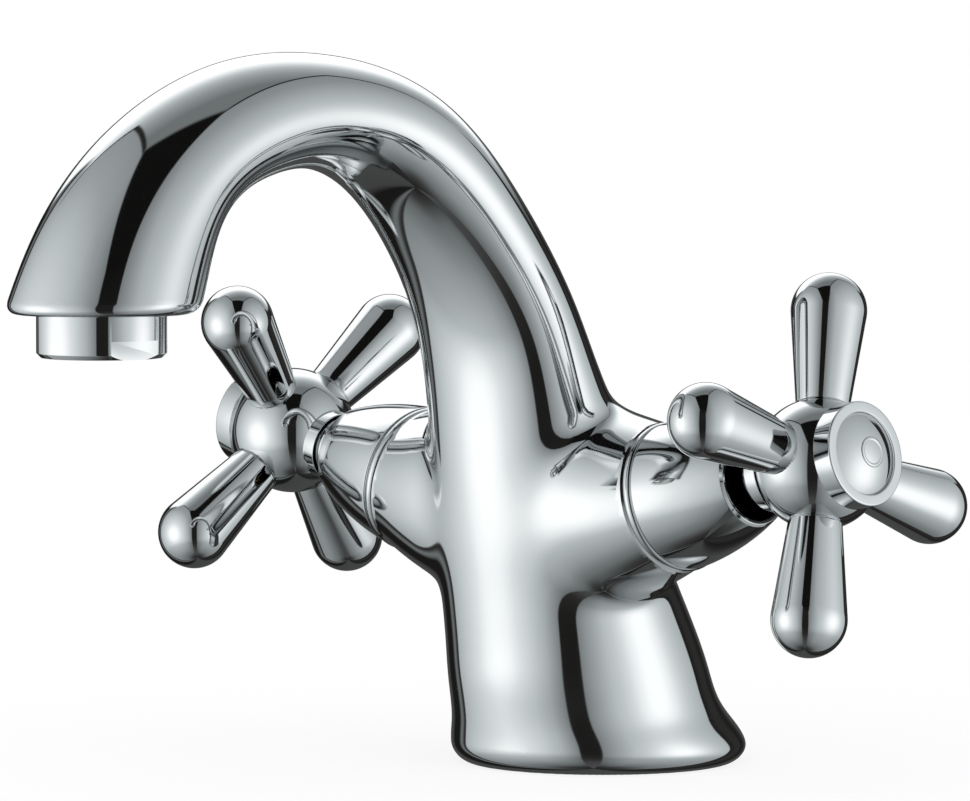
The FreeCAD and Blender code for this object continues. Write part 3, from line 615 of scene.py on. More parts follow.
def pocket_cutter(shape):
    """The hollow under the foot, less the bosses round its threaded holes and their web."""
    s = shape.sizes
    turn = np.linspace(0, FULL_TURN, 96, endpoint=False)
    rows = shape.sample_rows
    top_row = rows[np.argmax(rows[:, 1] > s.pocket_height)]
    rings = []
    for row, height, wall in ((rows[0], -OVER, s.pocket_wall_foot),
                              (top_row, s.pocket_height, s.pocket_wall_top)):
        forward, _, half_width, half_depth = row[:4]
        rings.append(np.column_stack(((half_width - wall) * np.cos(turn),
                                      forward + (half_depth - wall) * np.sin(turn),
                                      np.full(len(turn), height))))
    pocket = new_object("pocket", joined("pocket", [tube(rings)]))
    low, high = -2 * OVER, s.pocket_height + 2 * OVER
    holes = ((-s.inlet_aside, -s.inlet_forward, s.inlet_radius),
             (s.inlet_aside, -s.inlet_forward, s.inlet_radius),
             (0, s.stud_back, s.stud_radius))
    web = joined("web", [tube([[(x, y, height) for x, y, _ in holes] for height in (low, high)])])
    solids = [new_object("web", web)]
    for x, y, radius in holes:
        boss = column_of(radius + s.boss_wall, low, high)
        solids.append(turned_cutter(boss, Matrix.Translation((x, y, 0))))
    return cut(pocket, solids)


def branch_end_cutters(s, place):
    """Shoulder, spigot with its seal's groove, and valve chamber at the end of a branch."""
    edge, run_out, clear = 0.4 * MM, 0.1 * MM, 4 * MM
    groove_half, groove_back = 0.7 * MM, 2.0 * MM
    seat_bore, seat_foot = 5 * MM, 8 * MM
    chamber_bore, chamber_foot = 9.5 * MM, 15.5 * MM
    root, past = s.spigot_radius, s.branch_radius + clear
    spigot_end = s.branch_end + s.spigot_length
    groove_floor, groove_at = root - 2 * groove_half, spigot_end - groove_back
    shoulder = s.branch_end - edge - run_out
    outside = [(0, spigot_end), (root, spigot_end), (root, groove_at + groove_half),
               (groove_floor, groove_at + groove_half), (groove_floor, groove_at - groove_half),
               (root, groove_at - groove_half), (root, s.branch_end), (s.branch_radius - edge, s.branch_end),
               (s.branch_radius + run_out, shoulder), (past, shoulder), (past, spigot_end + clear),
               (0, spigot_end + clear)]
    inside = [(0, seat_foot), (seat_bore, seat_foot), (seat_bore, chamber_foot),
              (chamber_bore, chamber_foot), (chamber_bore, spigot_end + OVER), (0, spigot_end + OVER)]
    return [turned_cutter(outside, place, 192), turned_cutter(inside, place)]


def casting_cutters(shape):
    """Everything that is machined or cored out of the casting."""
    s = shape.sizes
    riser, riser_top, thread_end = 3.6 * MM, 24 * MM, 14 * MM
    outlet_bore, outlet_depth, stud_depth = 11.5 * MM, 9.6 * MM, 16 * MM
    cutters = []
    inlet = [(0, -OVER), (s.inlet_radius, -OVER), (s.inlet_radius, thread_end), (riser, thread_end),
             (riser, riser_top), (0, riser_top)]
    for _, side in SIDES:
        cutters += branch_end_cutters(s, valve_frame(side))
        cutters.append(turned_cutter(
            inlet, Matrix.Translation((side * s.inlet_aside, -s.inlet_forward, 0))))
    outlet_height = s.crown_height - s.outlet_drop
    outlet = column_of(outlet_bore, outlet_height - OVER, outlet_height + outlet_depth)
    cutters.append(turned_cutter(outlet, Matrix.Translation((0, -s.spout_reach, 0))))
    stud_hole = column_of(s.stud_radius, -OVER, stud_depth)
    cutters.append(turned_cutter(stud_hole, Matrix.Translation((0, s.stud_back, 0))))
    outer = (s.foot_width + s.foot_depth) / 4 - s.gasket_edge
    inner = outer - s.gasket_width
    groove = [(inner, -OVER), (outer, -OVER), (outer, s.gasket_depth), (inner, s.gasket_depth)]
    cutters.append(turned_cutter(groove, Matrix(), 192))
    cutters.append(pocket_cutter(shape))
    return cutters


def skin_normals(mesh, shape):
    """Give the skin its exact normals and leave the machined faces as they are."""
    touching, least_alike = 0.02 * MM, 0.8
    smooth(mesh, math.radians(35))
    count = len(mesh.vertices)
    points = np.empty(count * 3)
    mesh.vertices.foreach_get("co", points)
    points = points.reshape(-1, 3)
    slope = shape.slope(points)
    slope /= np.linalg.norm(slope, axis=1)[:, None]
    on_skin = np.abs(shape.distance(points)) < touching
    corners = len(mesh.loops)
    corner_vertex = np.empty(corners, np.int32)
    mesh.loops.foreach_get("vertex_index", corner_vertex)
    normals = np.empty(corners * 3, np.float32)
    mesh.corner_normals.foreach_get("vector", normals)
    normals = normals.reshape(-1, 3).astype(float)
    faces = len(mesh.polygons)
    sizes = np.empty(faces, np.int32)
    mesh.polygons.foreach_get("loop_total", sizes)
    face_normals = np.empty(faces * 3, np.float32)
    mesh.polygons.foreach_get("normal", face_normals)
    face_normals = np.repeat(face_normals.reshape(-1, 3), sizes, axis=0)
    alike = (face_normals * slope[corner_vertex]).sum(axis=1) > least_alike
    face_of_corner = np.repeat(np.arange(faces), sizes)
    off_skin = np.bincount(face_of_corner, ~(on_skin[corner_vertex] & alike), faces) > 0
    keep = ~off_skin[face_of_corner]
    normals[keep] = slope[corner_vertex][keep]
    mesh.normals_split_custom_set([tuple(normal) for normal in normals])


# Materials

def new_material(name):
    """A new material and its empty node tree."""
    material = bpy.data.materials.new(name)
    material.use_nodes = True
    material.node_tree.nodes.clear()
    return material, material.node_tree


def workshop_finish(name, tint, metallic, roughness, grain_mm, depth_mm, darker=0.85):
    """A finish whose colour varies a little with a fine grain that also roughens it. Real
    grain of 0.1 mm and less is too fine to show, so it is drawn some tenths of a millimetre
    wide."""
    material, tree = new_material(name)
    coords = add(tree, "ShaderNodeTexCoord").outputs["Object"]
    grain = add(tree, "ShaderNodeTexNoise", {
        "Vector": coords, "Scale": 1 / (grain_mm * MM), "Detail": 3.0}).outputs["Fac"]
    dark_tint = tuple(c * darker for c in tint[:3]) + (1.0,)
    shade = add(tree, "ShaderNodeValToRGB", {"Fac": grain}, ((0.35, dark_tint), (0.65, tuple(tint))))
    bump = add(tree, "ShaderNodeBump", {"Height": grain, "Strength": 0.3, "Distance": depth_mm * MM})
    shader = add(tree, "ShaderNodeBsdfPrincipled", {
        "Base Color": shade.outputs["Color"], "Metallic": metallic, "Roughness": roughness,
        "Normal": bump.outputs["Normal"]})
    add(tree, "ShaderNodeOutputMaterial", {"Surface": shader.outputs["BSDF"]})
    return material


# Brass that was ground and buffed, then plated with nickel and bright chrome: a cold, slightly
# grey mirror. Wiping leaves patches of a faint film, about 18 mm across, so reflections are
# crisp but their edges are a little softer in some places than in others.
def chrome_plated_brass(tints):
    roughness, uneven, patch_mm = 0.05, 0.012, 18.0
    material, tree = new_material("chrome_plated_brass")
    coords = add(tree, "ShaderNodeTexCoord").outputs["Object"]
    film = add(tree, "ShaderNodeTexNoise", {
        "Vector": coords, "Scale": 1 / (patch_mm * MM), "Detail": 4.0, "Roughness": 0.6}).outputs["Fac"]
    spread = add(tree, "ShaderNodeMapRange", {
        "Value": film, "From Min": 0.3, "From Max": 0.7, "To Min": roughness - uneven,
        "To Max": roughness + uneven}).outputs["Result"]
    shader = add(tree, "ShaderNodeBsdfPrincipled", {
        "Base Color": tuple(tints.chrome), "Metallic": 1.0, "Roughness": spread})
    add(tree, "ShaderNodeOutputMaterial", {"Surface": shader.outputs["BSDF"]})
    return material


# Thin plating on brass that was left as turned, inside the shrouds: dull, and coloured near
# black as painted shade, so no bright reflection shows in the gap round the neck.
def shroud_inside_painted_shade(tints):
    return workshop_finish("shroud_inside_painted_shade", tints.unpolished,
                           metallic=1.0, roughness=0.5, grain_mm=0.6, depth_mm=0.02)


# Turned brass of the valve's headwork, coloured brownish black as painted shade, with a soft
# sheen, so it stays in the dark of the shroud.
def headwork_painted_shade(tints):
    return workshop_finish("headwork_painted_shade", tints.blackened,
                           metallic=1.0, roughness=0.45, grain_mm=0.6, depth_mm=0.02)


# Brass as it comes from the lathe: warm yellow with a satin gleam.
def machined_brass(tints):
    return workshop_finish("machined_brass", tints.brass,
                           metallic=1.0, roughness=0.3, grain_mm=0.6, depth_mm=0.02)


# Alumina ceramic, ground and lapped: warm white, even, with a faint gloss.
def ground_alumina(tints):
    return workshop_finish("ground_alumina", tints.ceramic,
                           metallic=0.0, roughness=0.25, grain_mm=0.4, depth_mm=0.005, darker=0.95)


# Moulded EPDM rubber: near black and almost matt.
def black_epdm_rubber(tints):
    return workshop_finish("black_epdm_rubber", tints.rubber,
                           metallic=0.0, roughness=0.55, grain_mm=0.5, depth_mm=0.02)


# Injection moulded acetal: milky white with a waxy sheen.
def moulded_acetal(tints):
    return workshop_finish("moulded_acetal", tints.plastic,
                           metallic=0.0, roughness=0.38, grain_mm=0.8, depth_mm=0.01, darker=0.96)


# Turned stainless steel: neutral grey with a fine satin gleam.
def turned_stainless_steel(tints):
    return workshop_finish("turned_stainless_steel", tints.steel,
                           metallic=1.0, roughness=0.28, grain_mm=0.5, depth_mm=0.01)


def made_of(maker):
    """The material of a maker, made the first time that it is asked for."""
    return bpy.data.materials.get(maker.__name__) or maker(bpy.context.scene.tap_finishes)


# Stage

# The light round the tap, judged from its reflections in the photograph. A way is degrees
# right of the camera and degrees above the horizon. A stop is some degrees and an sRGB grey,
# and the first three rows of stops go by the angle from their screen's way.
LEFT_SCREEN_WAY = (-75, -7)
RIGHT_SCREEN_WAY = (70, -9)
BACKDROP_WAY = (-165, 10)
LEFT_SCREEN_STOPS = ((0, 254), (11, 253), (17, 243), (24, 224), (32, 209), (40, 196), (50, 178),
                     (60, 157), (75, 139), (90, 124), (180, 110))
RIGHT_SCREEN_STOPS = ((0, 254), (8, 250), (16, 235), (24, 215), (32, 198), (40, 186), (50, 175),
                      (60, 163), (75, 141), (90, 128), (180, 115))
BACKDROP_STOPS = ((0, 255), (36, 255), (39, 250), (41, 242), (44, 228), (46, 216), (50, 193),
                  (53, 178), (57, 163), (62, 147), (67, 134), (75, 112))
# How much the screens dim beside the slit, by the turn, and towards the floor, by the rise.
BESIDE_SLIT_STOPS = ((-45, 255), (-28, 243), (-18, 220), (-12, 196), (2, 196), (12, 224), (30, 255))
NEAR_FLOOR_STOPS = ((-90, 60), (-80, 110), (-70, 180), (-55, 210), (-36, 222), (-28, 245), (-20, 255))
# The dark between screens and backdrop, by the turn, and in the slit, by the rise.
GAP_STOPS = ((-180, 66), (-160, 62), (-154, 24), (-142, 24), (-138, 104), (-136, 104), (-133, 40),
             (120, 20), (131, 42), (139, 42), (147, 26), (153, 40), (160, 66))
SLIT_STOPS = ((-90, 75), (-60, 66), (-40, 40), (-20, 28), (20, 30), (35, 16))
GAP_LINE = "#1E1E1E"
# Edges by the turn or the rise in degrees, each with how softly it ends.
SCREEN_ENDS = (-130, 121.5, 0.8)
BACKDROP_LEFT_END = (153, 2)
BACKDROP_RIGHT_END = (149.5, 2)
BACKDROP_FOOT = (18, 3)
OVERHEAD_FOOT = (38, 3)
GAP_LINE_FOOT = (30, 2)
SLIT_SIDES = (-14, 4, 0.8)
SLIT_TOP = (60, 4)
OPENING_FOOT = (20, 4)
# Overhead, places and edges are taken where a way meets a level sheet at a height of 1. How
# far a place is past a seam is a start plus its aside and ahead parts by their weights.
SEAMS_MIDDLE = -0.075
STEEP_SEAM = (-0.3099, 0.925, 0.37)
FLAT_SEAM = (0.1406, 0.4872, 0.87)
SEAM_EDGE = (0, 0.012)
GAP_LINE_SIDES = (-0.016, 0.016, 0.007)
GAP_LINE_INNER_END = (0.27, 0.01)
OPENING_SIDES = (-0.35, 0.2, 0.015)
OPENING_BACK = (0.15, 0.03)
# The cloth's cast from dark to bright.
CAST_STOPS = ((0.0, "#FFF6F0"), (0.08, "#F3FBFD"), (0.5, "#F5FCFD"), (1.0, "#FFFFFF"))


class StageOperator(bpy.types.Operator):
    """Set up the floor, the studio's light and the camera"""
    bl_idname = "mixer_tap.stage"
    bl_label = "Stage"

    def execute(self, context):
        scene = context.scene
        studio = scene.tap_studio
        scene.view_settings.view_transform = "Standard"
        half = studio.floor_size / 2
        corners = [(-half, -half, 0), (half, -half, 0), (half, half, 0), (-half, half, 0)]
        floor = new_object("floor", mesh_of("floor", corners, [(0, 1, 2, 3)]))
        floor.data.materials.append(self.floor_card(tuple(studio.floor)))
        floor.visible_glossy = False
        self.surroundings(scene, studio)
        self.camera(scene, studio)
        return {"FINISHED"}

    def floor_card(self, tint):
        """Matt white card. Away from the tap it fades to the plain white of the background,
        so only the shadow near the tap shows."""
        fade_from, fade_to, least_white = 20 * MM, 260 * MM, 0.82
        material, tree = new_material("matt_white_card")
        shader = add(tree, "ShaderNodeBsdfDiffuse", {"Color": tint, "Roughness": 1.0})
        white = add(tree, "ShaderNodeEmission", {"Color": linear("#FFFFFF"), "Strength": 1.0})
        spot = add(tree, "ShaderNodeTexCoord").outputs["Object"]
        reach = add(tree, "ShaderNodeVectorMath", {0: spot}, operation="LENGTH").outputs["Value"]
        share = add(tree, "ShaderNodeMapRange", {
            "Value": reach, "From Min": fade_from, "From Max": fade_to, "To Min": least_white},
            interpolation_type="SMOOTHSTEP").outputs["Result"]
        mixed = add(tree, "ShaderNodeMixShader", {
            "Fac": share, 1: shader.outputs["BSDF"], 2: white.outputs["Emission"]})
        add(tree, "ShaderNodeOutputMaterial", {"Surface": mixed.outputs["Shader"]})
        return material

    def surroundings(self, scene, studio):
        """A white world, and a light tent that only reflections show: tall lit screens left
        and right, a white backdrop, the slit that the camera looks through, an open front
        half of the top and the dark gaps at the back."""
        world = bpy.data.worlds.new("studio")
        scene.world = world
        world.use_nodes = True
        world.node_tree.nodes.clear()
        white = add(world.node_tree, "ShaderNodeBackground", {"Color": linear("#FFFFFF"), "Strength": 1.0})
        add(world.node_tree, "ShaderNodeOutputWorld", {"Surface": white.outputs["Background"]})
        ball = bmesh.new()
        bmesh.ops.create_icosphere(ball, subdivisions=5, radius=studio.tent_radius,
                                   matrix=Matrix.Translation(studio.target))
        mesh = bpy.data.meshes.new("light_tent")
        ball.to_mesh(mesh)
        ball.free()
        tent = new_object("light_tent", mesh)
        mesh.materials.append(self.tent_cloth(studio))
        tent.visible_camera = tent.visible_diffuse = tent.visible_shadow = False
        tent.visible_transmission = tent.visible_volume_scatter = False

    def tent_cloth(self, studio):
        """Lit cloth that is as bright each way as the reflections in the photograph say."""
        material, tree = new_material("lit_tent_cloth")
        material.cycles.emission_sampling = "NONE"
        place = add(tree, "ShaderNodeTexCoord").outputs["Object"]
        arm = add(tree, "ShaderNodeVectorMath", {0: place, 1: tuple(studio.target)},
                  operation="SUBTRACT").outputs["Vector"]
        way = add(tree, "ShaderNodeVectorMath", {0: arm}, operation="NORMALIZE").outputs["Vector"]

        def toward(turn, rise):
            """Direction at degrees right of the camera and above the horizon."""
            heading = studio.azimuth + math.radians(turn)
            rise = math.radians(rise)
            return (math.sin(heading) * math.cos(rise), -math.cos(heading) * math.cos(rise), math.sin(rise))

        def along(direction):
            """How far the way to a spot of cloth goes along a direction."""
            return add(tree, "ShaderNodeVectorMath", {0: way, 1: direction},
                       operation="DOT_PRODUCT").outputs["Value"]

        def degrees(inverse, *values):
            """Angle in degrees by an inverse function of one or two values."""
            turned_by = add(tree, "ShaderNodeMath", dict(enumerate(values)), operation=inverse)
            return add(tree, "ShaderNodeMath", {0: turned_by.outputs["Value"]},
                       operation="DEGREES").outputs["Value"]

        def lit(value, low, high, stops):
            """Brightness by an angle between low and high, through stops."""
            share = add(tree, "ShaderNodeMapRange", {"Value": value, "From Min": low, "From Max": high})
            places = [((at - low) / (high - low), linear("#" + 3 * f"{grey:02X}")) for at, grey in stops]
            return add(tree, "ShaderNodeValToRGB", {"Fac": share.outputs["Result"]}, places).outputs["Color"]

        def past(value, edge, soft, before=0.0, after=1.0):
            """Goes softly from before to after where a value passes an edge."""
            return add(tree, "ShaderNodeMapRange", {
                "Value": value, "From Min": edge - soft, "From Max": edge + soft, "To Min": before,
                "To Max": after}, interpolation_type="SMOOTHSTEP").outputs["Result"]

        def short_of(value, edge, soft):
            """1 before an edge."""
            return past(value, edge, soft, 1.0, 0.0)

        def both(first, *others):
            """1 where all of the masks are 1."""
            for other in others:
                first = add(tree, "ShaderNodeMath", {0: first, 1: other},
                            operation="MULTIPLY").outputs["Value"]
            return first

        def either(first, second):
            """1 where one of two masks is 1."""
            return add(tree, "ShaderNodeMath", {0: first, 1: second}, operation="MAXIMUM").outputs["Value"]

        def between(value, low, high, soft):
            """1 between two edges."""
            return both(past(value, low, soft), short_of(value, high, soft))

        def weighed(start, *terms):
            """A start value with values times their weights added."""
            for value, weight in terms:
                start = add(tree, "ShaderNodeMath", {0: value, 1: weight, 2: start},
                            operation="MULTIPLY_ADD").outputs["Value"]
            return start

        def laid(under, over, where):
            """One cloth laid over another where a mask is 1."""
            return add(tree, "ShaderNodeMix", {"Factor": where, 6: under, 7: over},
                       data_type="RGBA").outputs[2]

        def brighter(first, second):
            """The brighter of two cloths."""
            return add(tree, "ShaderNodeMix", {"Factor": 1.0, 6: first, 7: second}, data_type="RGBA",
                       blend_type="LIGHTEN").outputs[2]

        def dimmed(cloth, shade):
            """A cloth in a shade."""
            return add(tree, "ShaderNodeMix", {"Factor": 1.0, 6: cloth, 7: shade}, data_type="RGBA",
                       blend_type="MULTIPLY").outputs[2]

        turn = degrees("ARCTAN2", along(toward(90, 0)), along(toward(0, 0)))
        rise = degrees("ARCSINE", along((0, 0, 1)))
        left = lit(degrees("ARCCOSINE", along(toward(*LEFT_SCREEN_WAY))), 0, 180, LEFT_SCREEN_STOPS)
        right = lit(degrees("ARCCOSINE", along(toward(*RIGHT_SCREEN_WAY))), 0, 180, RIGHT_SCREEN_STOPS)
        behind = lit(degrees("ARCCOSINE", along(toward(*BACKDROP_WAY))), 0, 180, BACKDROP_STOPS)
        front = dimmed(brighter(left, right), lit(turn, -180, 180, BESIDE_SLIT_STOPS))
        front = dimmed(front, lit(rise, -90, 90, NEAR_FLOOR_STOPS))

        # The screens reach round to the gaps at the back. The backdrop between the gaps has
        # leaning ends and starts above the horizon.
        left_end = past(weighed(0.0, (rise, 0.6), (turn, -1.0)), *BACKDROP_LEFT_END)
        right_end = past(weighed(0.0, (rise, 1.0), (turn, 1.0)), *BACKDROP_RIGHT_END)
        backdrop = both(either(left_end, right_end), past(rise, *BACKDROP_FOOT))
        room = laid(lit(turn, -180, 180, GAP_STOPS), front, between(turn, *SCREEN_ENDS))
        room = laid(room, brighter(front, behind), backdrop)

        # Overhead the screens lean together and meet the backdrop along two slanted seams on
        # each side.
        least_height = 0.05
        height = add(tree, "ShaderNodeMath", {0: along((0, 0, 1)), 1: least_height},
                     operation="MAXIMUM").outputs["Value"]
        across, ahead = [add(tree, "ShaderNodeMath", {0: along(toward(side, 0)), 1: height},
                             operation="DIVIDE").outputs["Value"] for side in (90, 0)]
        aside = add(tree, "ShaderNodeMath", {0: weighed(-SEAMS_MIDDLE, (across, 1.0))},
                    operation="ABSOLUTE").outputs["Value"]
        steep, flat = [weighed(start, (aside, aside_weight), (ahead, ahead_weight))
                       for start, aside_weight, ahead_weight in (STEEP_SEAM, FLAT_SEAM)]
        seam = add(tree, "ShaderNodeMath", {0: steep, 1: flat}, operation="MINIMUM").outputs["Value"]
        room = laid(room, laid(behind, front, past(seam, *SEAM_EDGE)), past(rise, *OVERHEAD_FOOT))
        gap_line = both(between(seam, *GAP_LINE_SIDES), past(rise, *GAP_LINE_FOOT),
                        past(aside, *GAP_LINE_INNER_END))
        room = laid(room, linear(GAP_LINE), gap_line)

        # The slit that the camera looks through, and the open front half of the top above it.
        slit = both(between(turn, *SLIT_SIDES), short_of(rise, *SLIT_TOP))
        opening = both(between(across, *OPENING_SIDES), past(ahead, *OPENING_BACK),
                       past(rise, *OPENING_FOOT))
        room = laid(room, lit(rise, -90, 90, SLIT_STOPS), either(slit, opening))
        cast = add(tree, "ShaderNodeValToRGB", {"Fac": room}, [(at, linear(tint)) for at, tint in CAST_STOPS])
        tinted = dimmed(room, cast.outputs["Color"])
        glow = add(tree, "ShaderNodeEmission", {"Color": tinted, "Strength": studio.brightness})
        add(tree, "ShaderNodeOutputMaterial", {"Surface": glow.outputs["Emission"]})
        return material

    def camera(self, scene, studio):
        """Camera at the photograph's angle."""
        data = bpy.data.cameras.new("camera")
        data.lens = studio.lens
        data.sensor_width = 36.0
        data.sensor_fit = "HORIZONTAL"
        camera = bpy.data.objects.new("camera", data)
        scene.collection.objects.link(camera)
        level = math.cos(studio.elevation)
        back = Vector((math.sin(studio.azimuth) * level, -math.cos(studio.azimuth) * level,
                       math.sin(studio.elevation)))
        camera.location = Vector(studio.target) + back * studio.distance
        camera.rotation_euler = (-back).to_track_quat("-Z", "Y").to_euler()
        data.clip_start, data.clip_end = 50 * MM, 120000 * MM
        scene.camera = camera


# Pieces

class CastingOperator(bpy.types.Operator):
    """Build the plated casting with its arch, branches and outlet"""
    bl_idname = "mixer_tap.casting"
    bl_label = "Casting"

    def execute(self, context):
        shape = CastingShape(context.scene.tap_casting)
        casting = new_object("casting", shape.rough_tubes())
        remesh = casting.modifiers.new("one skin", "REMESH")
        remesh.mode = "VOXEL"
        coarse, fine = 1.1 * MM, 0.9 * MM
        remesh.voxel_size = fine
        baked(casting)
        mesh = casting.data
        points = np.empty(len(mesh.vertices) * 3)
        mesh.vertices.foreach_get("co", points)
        points = shape.settle(points.reshape(-1, 3))
        mesh.vertices.foreach_set("co", points.ravel())
        mesh.update()
        cut(casting, casting_cutters(shape))
        if not casting.data.polygons:
            raise RuntimeError("the casting was lost while it was cut")
        skin_normals(casting.data, shape)
        finish_piece(casting, "tap", "chrome", ["mixer_body"], made_of(chrome_plated_brass))
        return {"FINISHED"}


class AeratorOperator(bpy.types.Operator):
    """Build the aerator's collar and sleeve under the outlet"""
    bl_idname = "mixer_tap.aerator"
    bl_label = "Aerator"

    def execute(self, context):
        s = context.scene.tap_casting
        outlet = s.crown_height - s.outlet_drop
        foot = outlet - 8.4 * MM
        collar, thread, bore = 12.6 * MM, 11.45 * MM, 9.85 * MM
        thread_top, lip_top, lip = outlet + 8 * MM, foot + 1 * MM, bore - 1.2 * MM
        slope, slope_edge, edge = 0.9 * MM, 0.3 * MM, 0.15 * MM
        # The collar hangs under the outlet, and its sleeve goes up into the thread.
        outline = softened([
            (lip, foot, edge), (collar - slope, foot, slope_edge), (collar, foot + slope, slope_edge),
            (collar, outlet, edge), (thread, outlet), (thread, thread_top), (bore, thread_top),
            (bore, lip_top), (lip, lip_top)])
        housing = new_object("aerator_collar", turned("aerator_collar", outline, 192))
        # Two flats for a spanner.
        flat_turn, flat_height, flat_depth, flat_at = math.radians(-9), 4.6 * MM, 1.2 * MM, foot + 1.3 * MM
        flats = []
        for half_turn in (0, math.pi):
            block = bmesh.new()
            bmesh.ops.create_cube(block, size=1)
            mesh = bpy.data.meshes.new("flat")
            block.to_mesh(mesh)
            block.free()
            mesh.transform(Matrix.Rotation(flat_turn + half_turn, 4, "Z")
                           @ Matrix.Translation((collar - flat_depth + collar / 2, 0, flat_at))
                           @ Matrix.Diagonal((collar, 3 * collar, flat_height, 1)))
            flats.append(new_object("flat", mesh))
        cut(housing, flats)
        housing.data.transform(Matrix.Translation((0, -s.spout_reach, 0)))
        smooth(housing.data)
        finish_piece(housing, "tap", "chrome", ["aerator_housing"], made_of(chrome_plated_brass))
        return {"FINISHED"}


class ShroudsOperator(bpy.types.Operator):
    """Build the bell shroud with its bead on each branch"""
    bl_idname = "mixer_tap.shrouds"
    bl_label = "Shrouds"

    def execute(self, context):
        s, h = context.scene.tap_casting, context.scene.tap_handles
        foot = s.branch_end
        end = foot + h.shroud_length
        thread_length, clearance, shoulder = 4.2 * MM, 0.05 * MM, 0.3 * MM
        fine, bore_edge = 0.12 * MM, 0.2 * MM
        rim_edge, rim_outside, rim_inside = 0.5 * MM, 0.3 * MM, 0.25 * MM
        bead = h.bead_height / 2
        seat = s.branch_radius - bead / 2
        root = s.branch_radius - shoulder
        body_foot = foot + h.bead_height + h.bead_groove
        bore, thread_top = s.spigot_radius + clearance, foot + thread_length
        middle = ((root + h.shroud_rim) / 2 + h.shroud_bulge, (body_foot + end) / 2)
        outer = arc((root, body_foot), middle, (h.shroud_rim, end - rim_edge), 40)
        inner = arc((h.shroud_rim - h.shroud_wall, end), (middle[0] - h.shroud_wall, middle[1]),
                    (root - 2 * h.shroud_wall, thread_top), 24)
        # Up the outside over the bead, its groove and the bulging side, then down the inside.
        corners = [(bore, foot), (seat, foot)]
        corners += arc((seat, foot), (s.branch_radius, foot + bead), (seat, foot + h.bead_height), 12)
        corners += [(seat - h.bead_groove, foot + h.bead_height, fine),
                    (seat - h.bead_groove, body_foot, fine), (root, body_foot, fine)]
        corners += outer[:-1] + [outer[-1] + (rim_outside,)]
        corners += [(h.shroud_rim - rim_edge, end, rim_inside),
                    (h.shroud_rim - h.shroud_wall, end, bore_edge)]
        corners += inner + [(bore, thread_top)]
        for name, side in SIDES:
            mesh = turned(name + "_bell", softened(corners), 224)
            inside = [face.normal.xy.dot(face.center.xy) < 0 for face in mesh.polygons]
            mesh.transform(valve_frame(side))
            bell = new_object(name + "_bell", smooth(mesh))
            finish_piece(bell, "tap", "chrome", [name + "_shroud"], made_of(chrome_plated_brass),
                         made_of(shroud_inside_painted_shade))
            # The inner faces take the near-black painted shade.
            mesh.polygons.foreach_set("material_index", [int(hidden) for hidden in inside])
        return {"FINISHED"}


class HubsOperator(bpy.types.Operator):
    """Build the ball hub, neck and collar of each handle"""
    bl_idname = "mixer_tap.hubs"
    bl_label = "Handle hubs"

    def execute(self, context):
        h = context.scene.tap_handles
        top = h.hub_centre + h.ring_face - h.ring_height
        neck_edge, collar_edge, fine = 0.2 * MM, 0.25 * MM, 0.1 * MM
        spindle_bore, web_foot, web_top, screw_hole = 4.05 * MM, 70.14 * MM, 73.14 * MM, 1.9 * MM
        head_bore, seat_bore, seat_floor = 5.4 * MM, 8.5 * MM, top - 4.6 * MM
        stud_bore, stud_depth, clearance = 2.55 * MM, 4.65 * MM, 0.05 * MM
        radius, collar = h.hub_radius, h.neck_radius + h.collar_step
        collar_foot = h.hub_centre - radius - h.collar_height / 2
        ball_foot = h.hub_centre - math.sqrt(radius ** 2 - collar ** 2)
        cap = math.sqrt(radius ** 2 - (top - h.hub_centre) ** 2)
        # Up the neck, collar and ball, then down through the button's seat, the well for the
        # screw's head and the web that the screw holds down on the spindle.
        corners = [(spindle_bore, h.neck_start), (h.neck_radius, h.neck_start, neck_edge),
                   (h.neck_radius, collar_foot, fine), (collar, collar_foot, collar_edge),
                   (collar, ball_foot)]
        corners += arc((collar, ball_foot), (radius, h.hub_centre), (cap, top), 72)
        corners += [(seat_bore, top), (seat_bore, seat_floor), (head_bore, seat_floor), (head_bore, web_top),
                    (screw_hole, web_top), (screw_hole, web_foot), (spindle_bore, web_foot)]
        seat = math.sqrt(radius ** 2 - h.spoke_root ** 2)
        socket = h.spoke_root + clearance
        stud_hole = [(0, seat - stud_depth), (stud_bore, seat - stud_depth), (stud_bore, seat),
                     (socket, seat), (socket, radius + OVER), (0, radius + OVER)]
        for name, side in SIDES:
            hub = new_object(name + "_hub", turned(name + "_hub", softened(corners), 192))
            cutters = []
            for index in range(h.spoke_count):
                lay = (Matrix.Translation((0, 0, h.hub_centre))
                       @ Matrix.Rotation(FULL_TURN * index / h.spoke_count, 4, "Z")
                       @ Matrix.Rotation(math.pi / 2, 4, "Y"))
                cutters.append(turned_cutter(stud_hole, lay))
            cut(hub, cutters)
            hub.data.transform(valve_frame(side, h.cold_turn if side > 0 else h.hot_turn))
            smooth(hub.data)
            finish_piece(hub, name + "_handle", "chrome", [name + "_handle_hub"],
                         made_of(chrome_plated_brass))
        return {"FINISHED"}


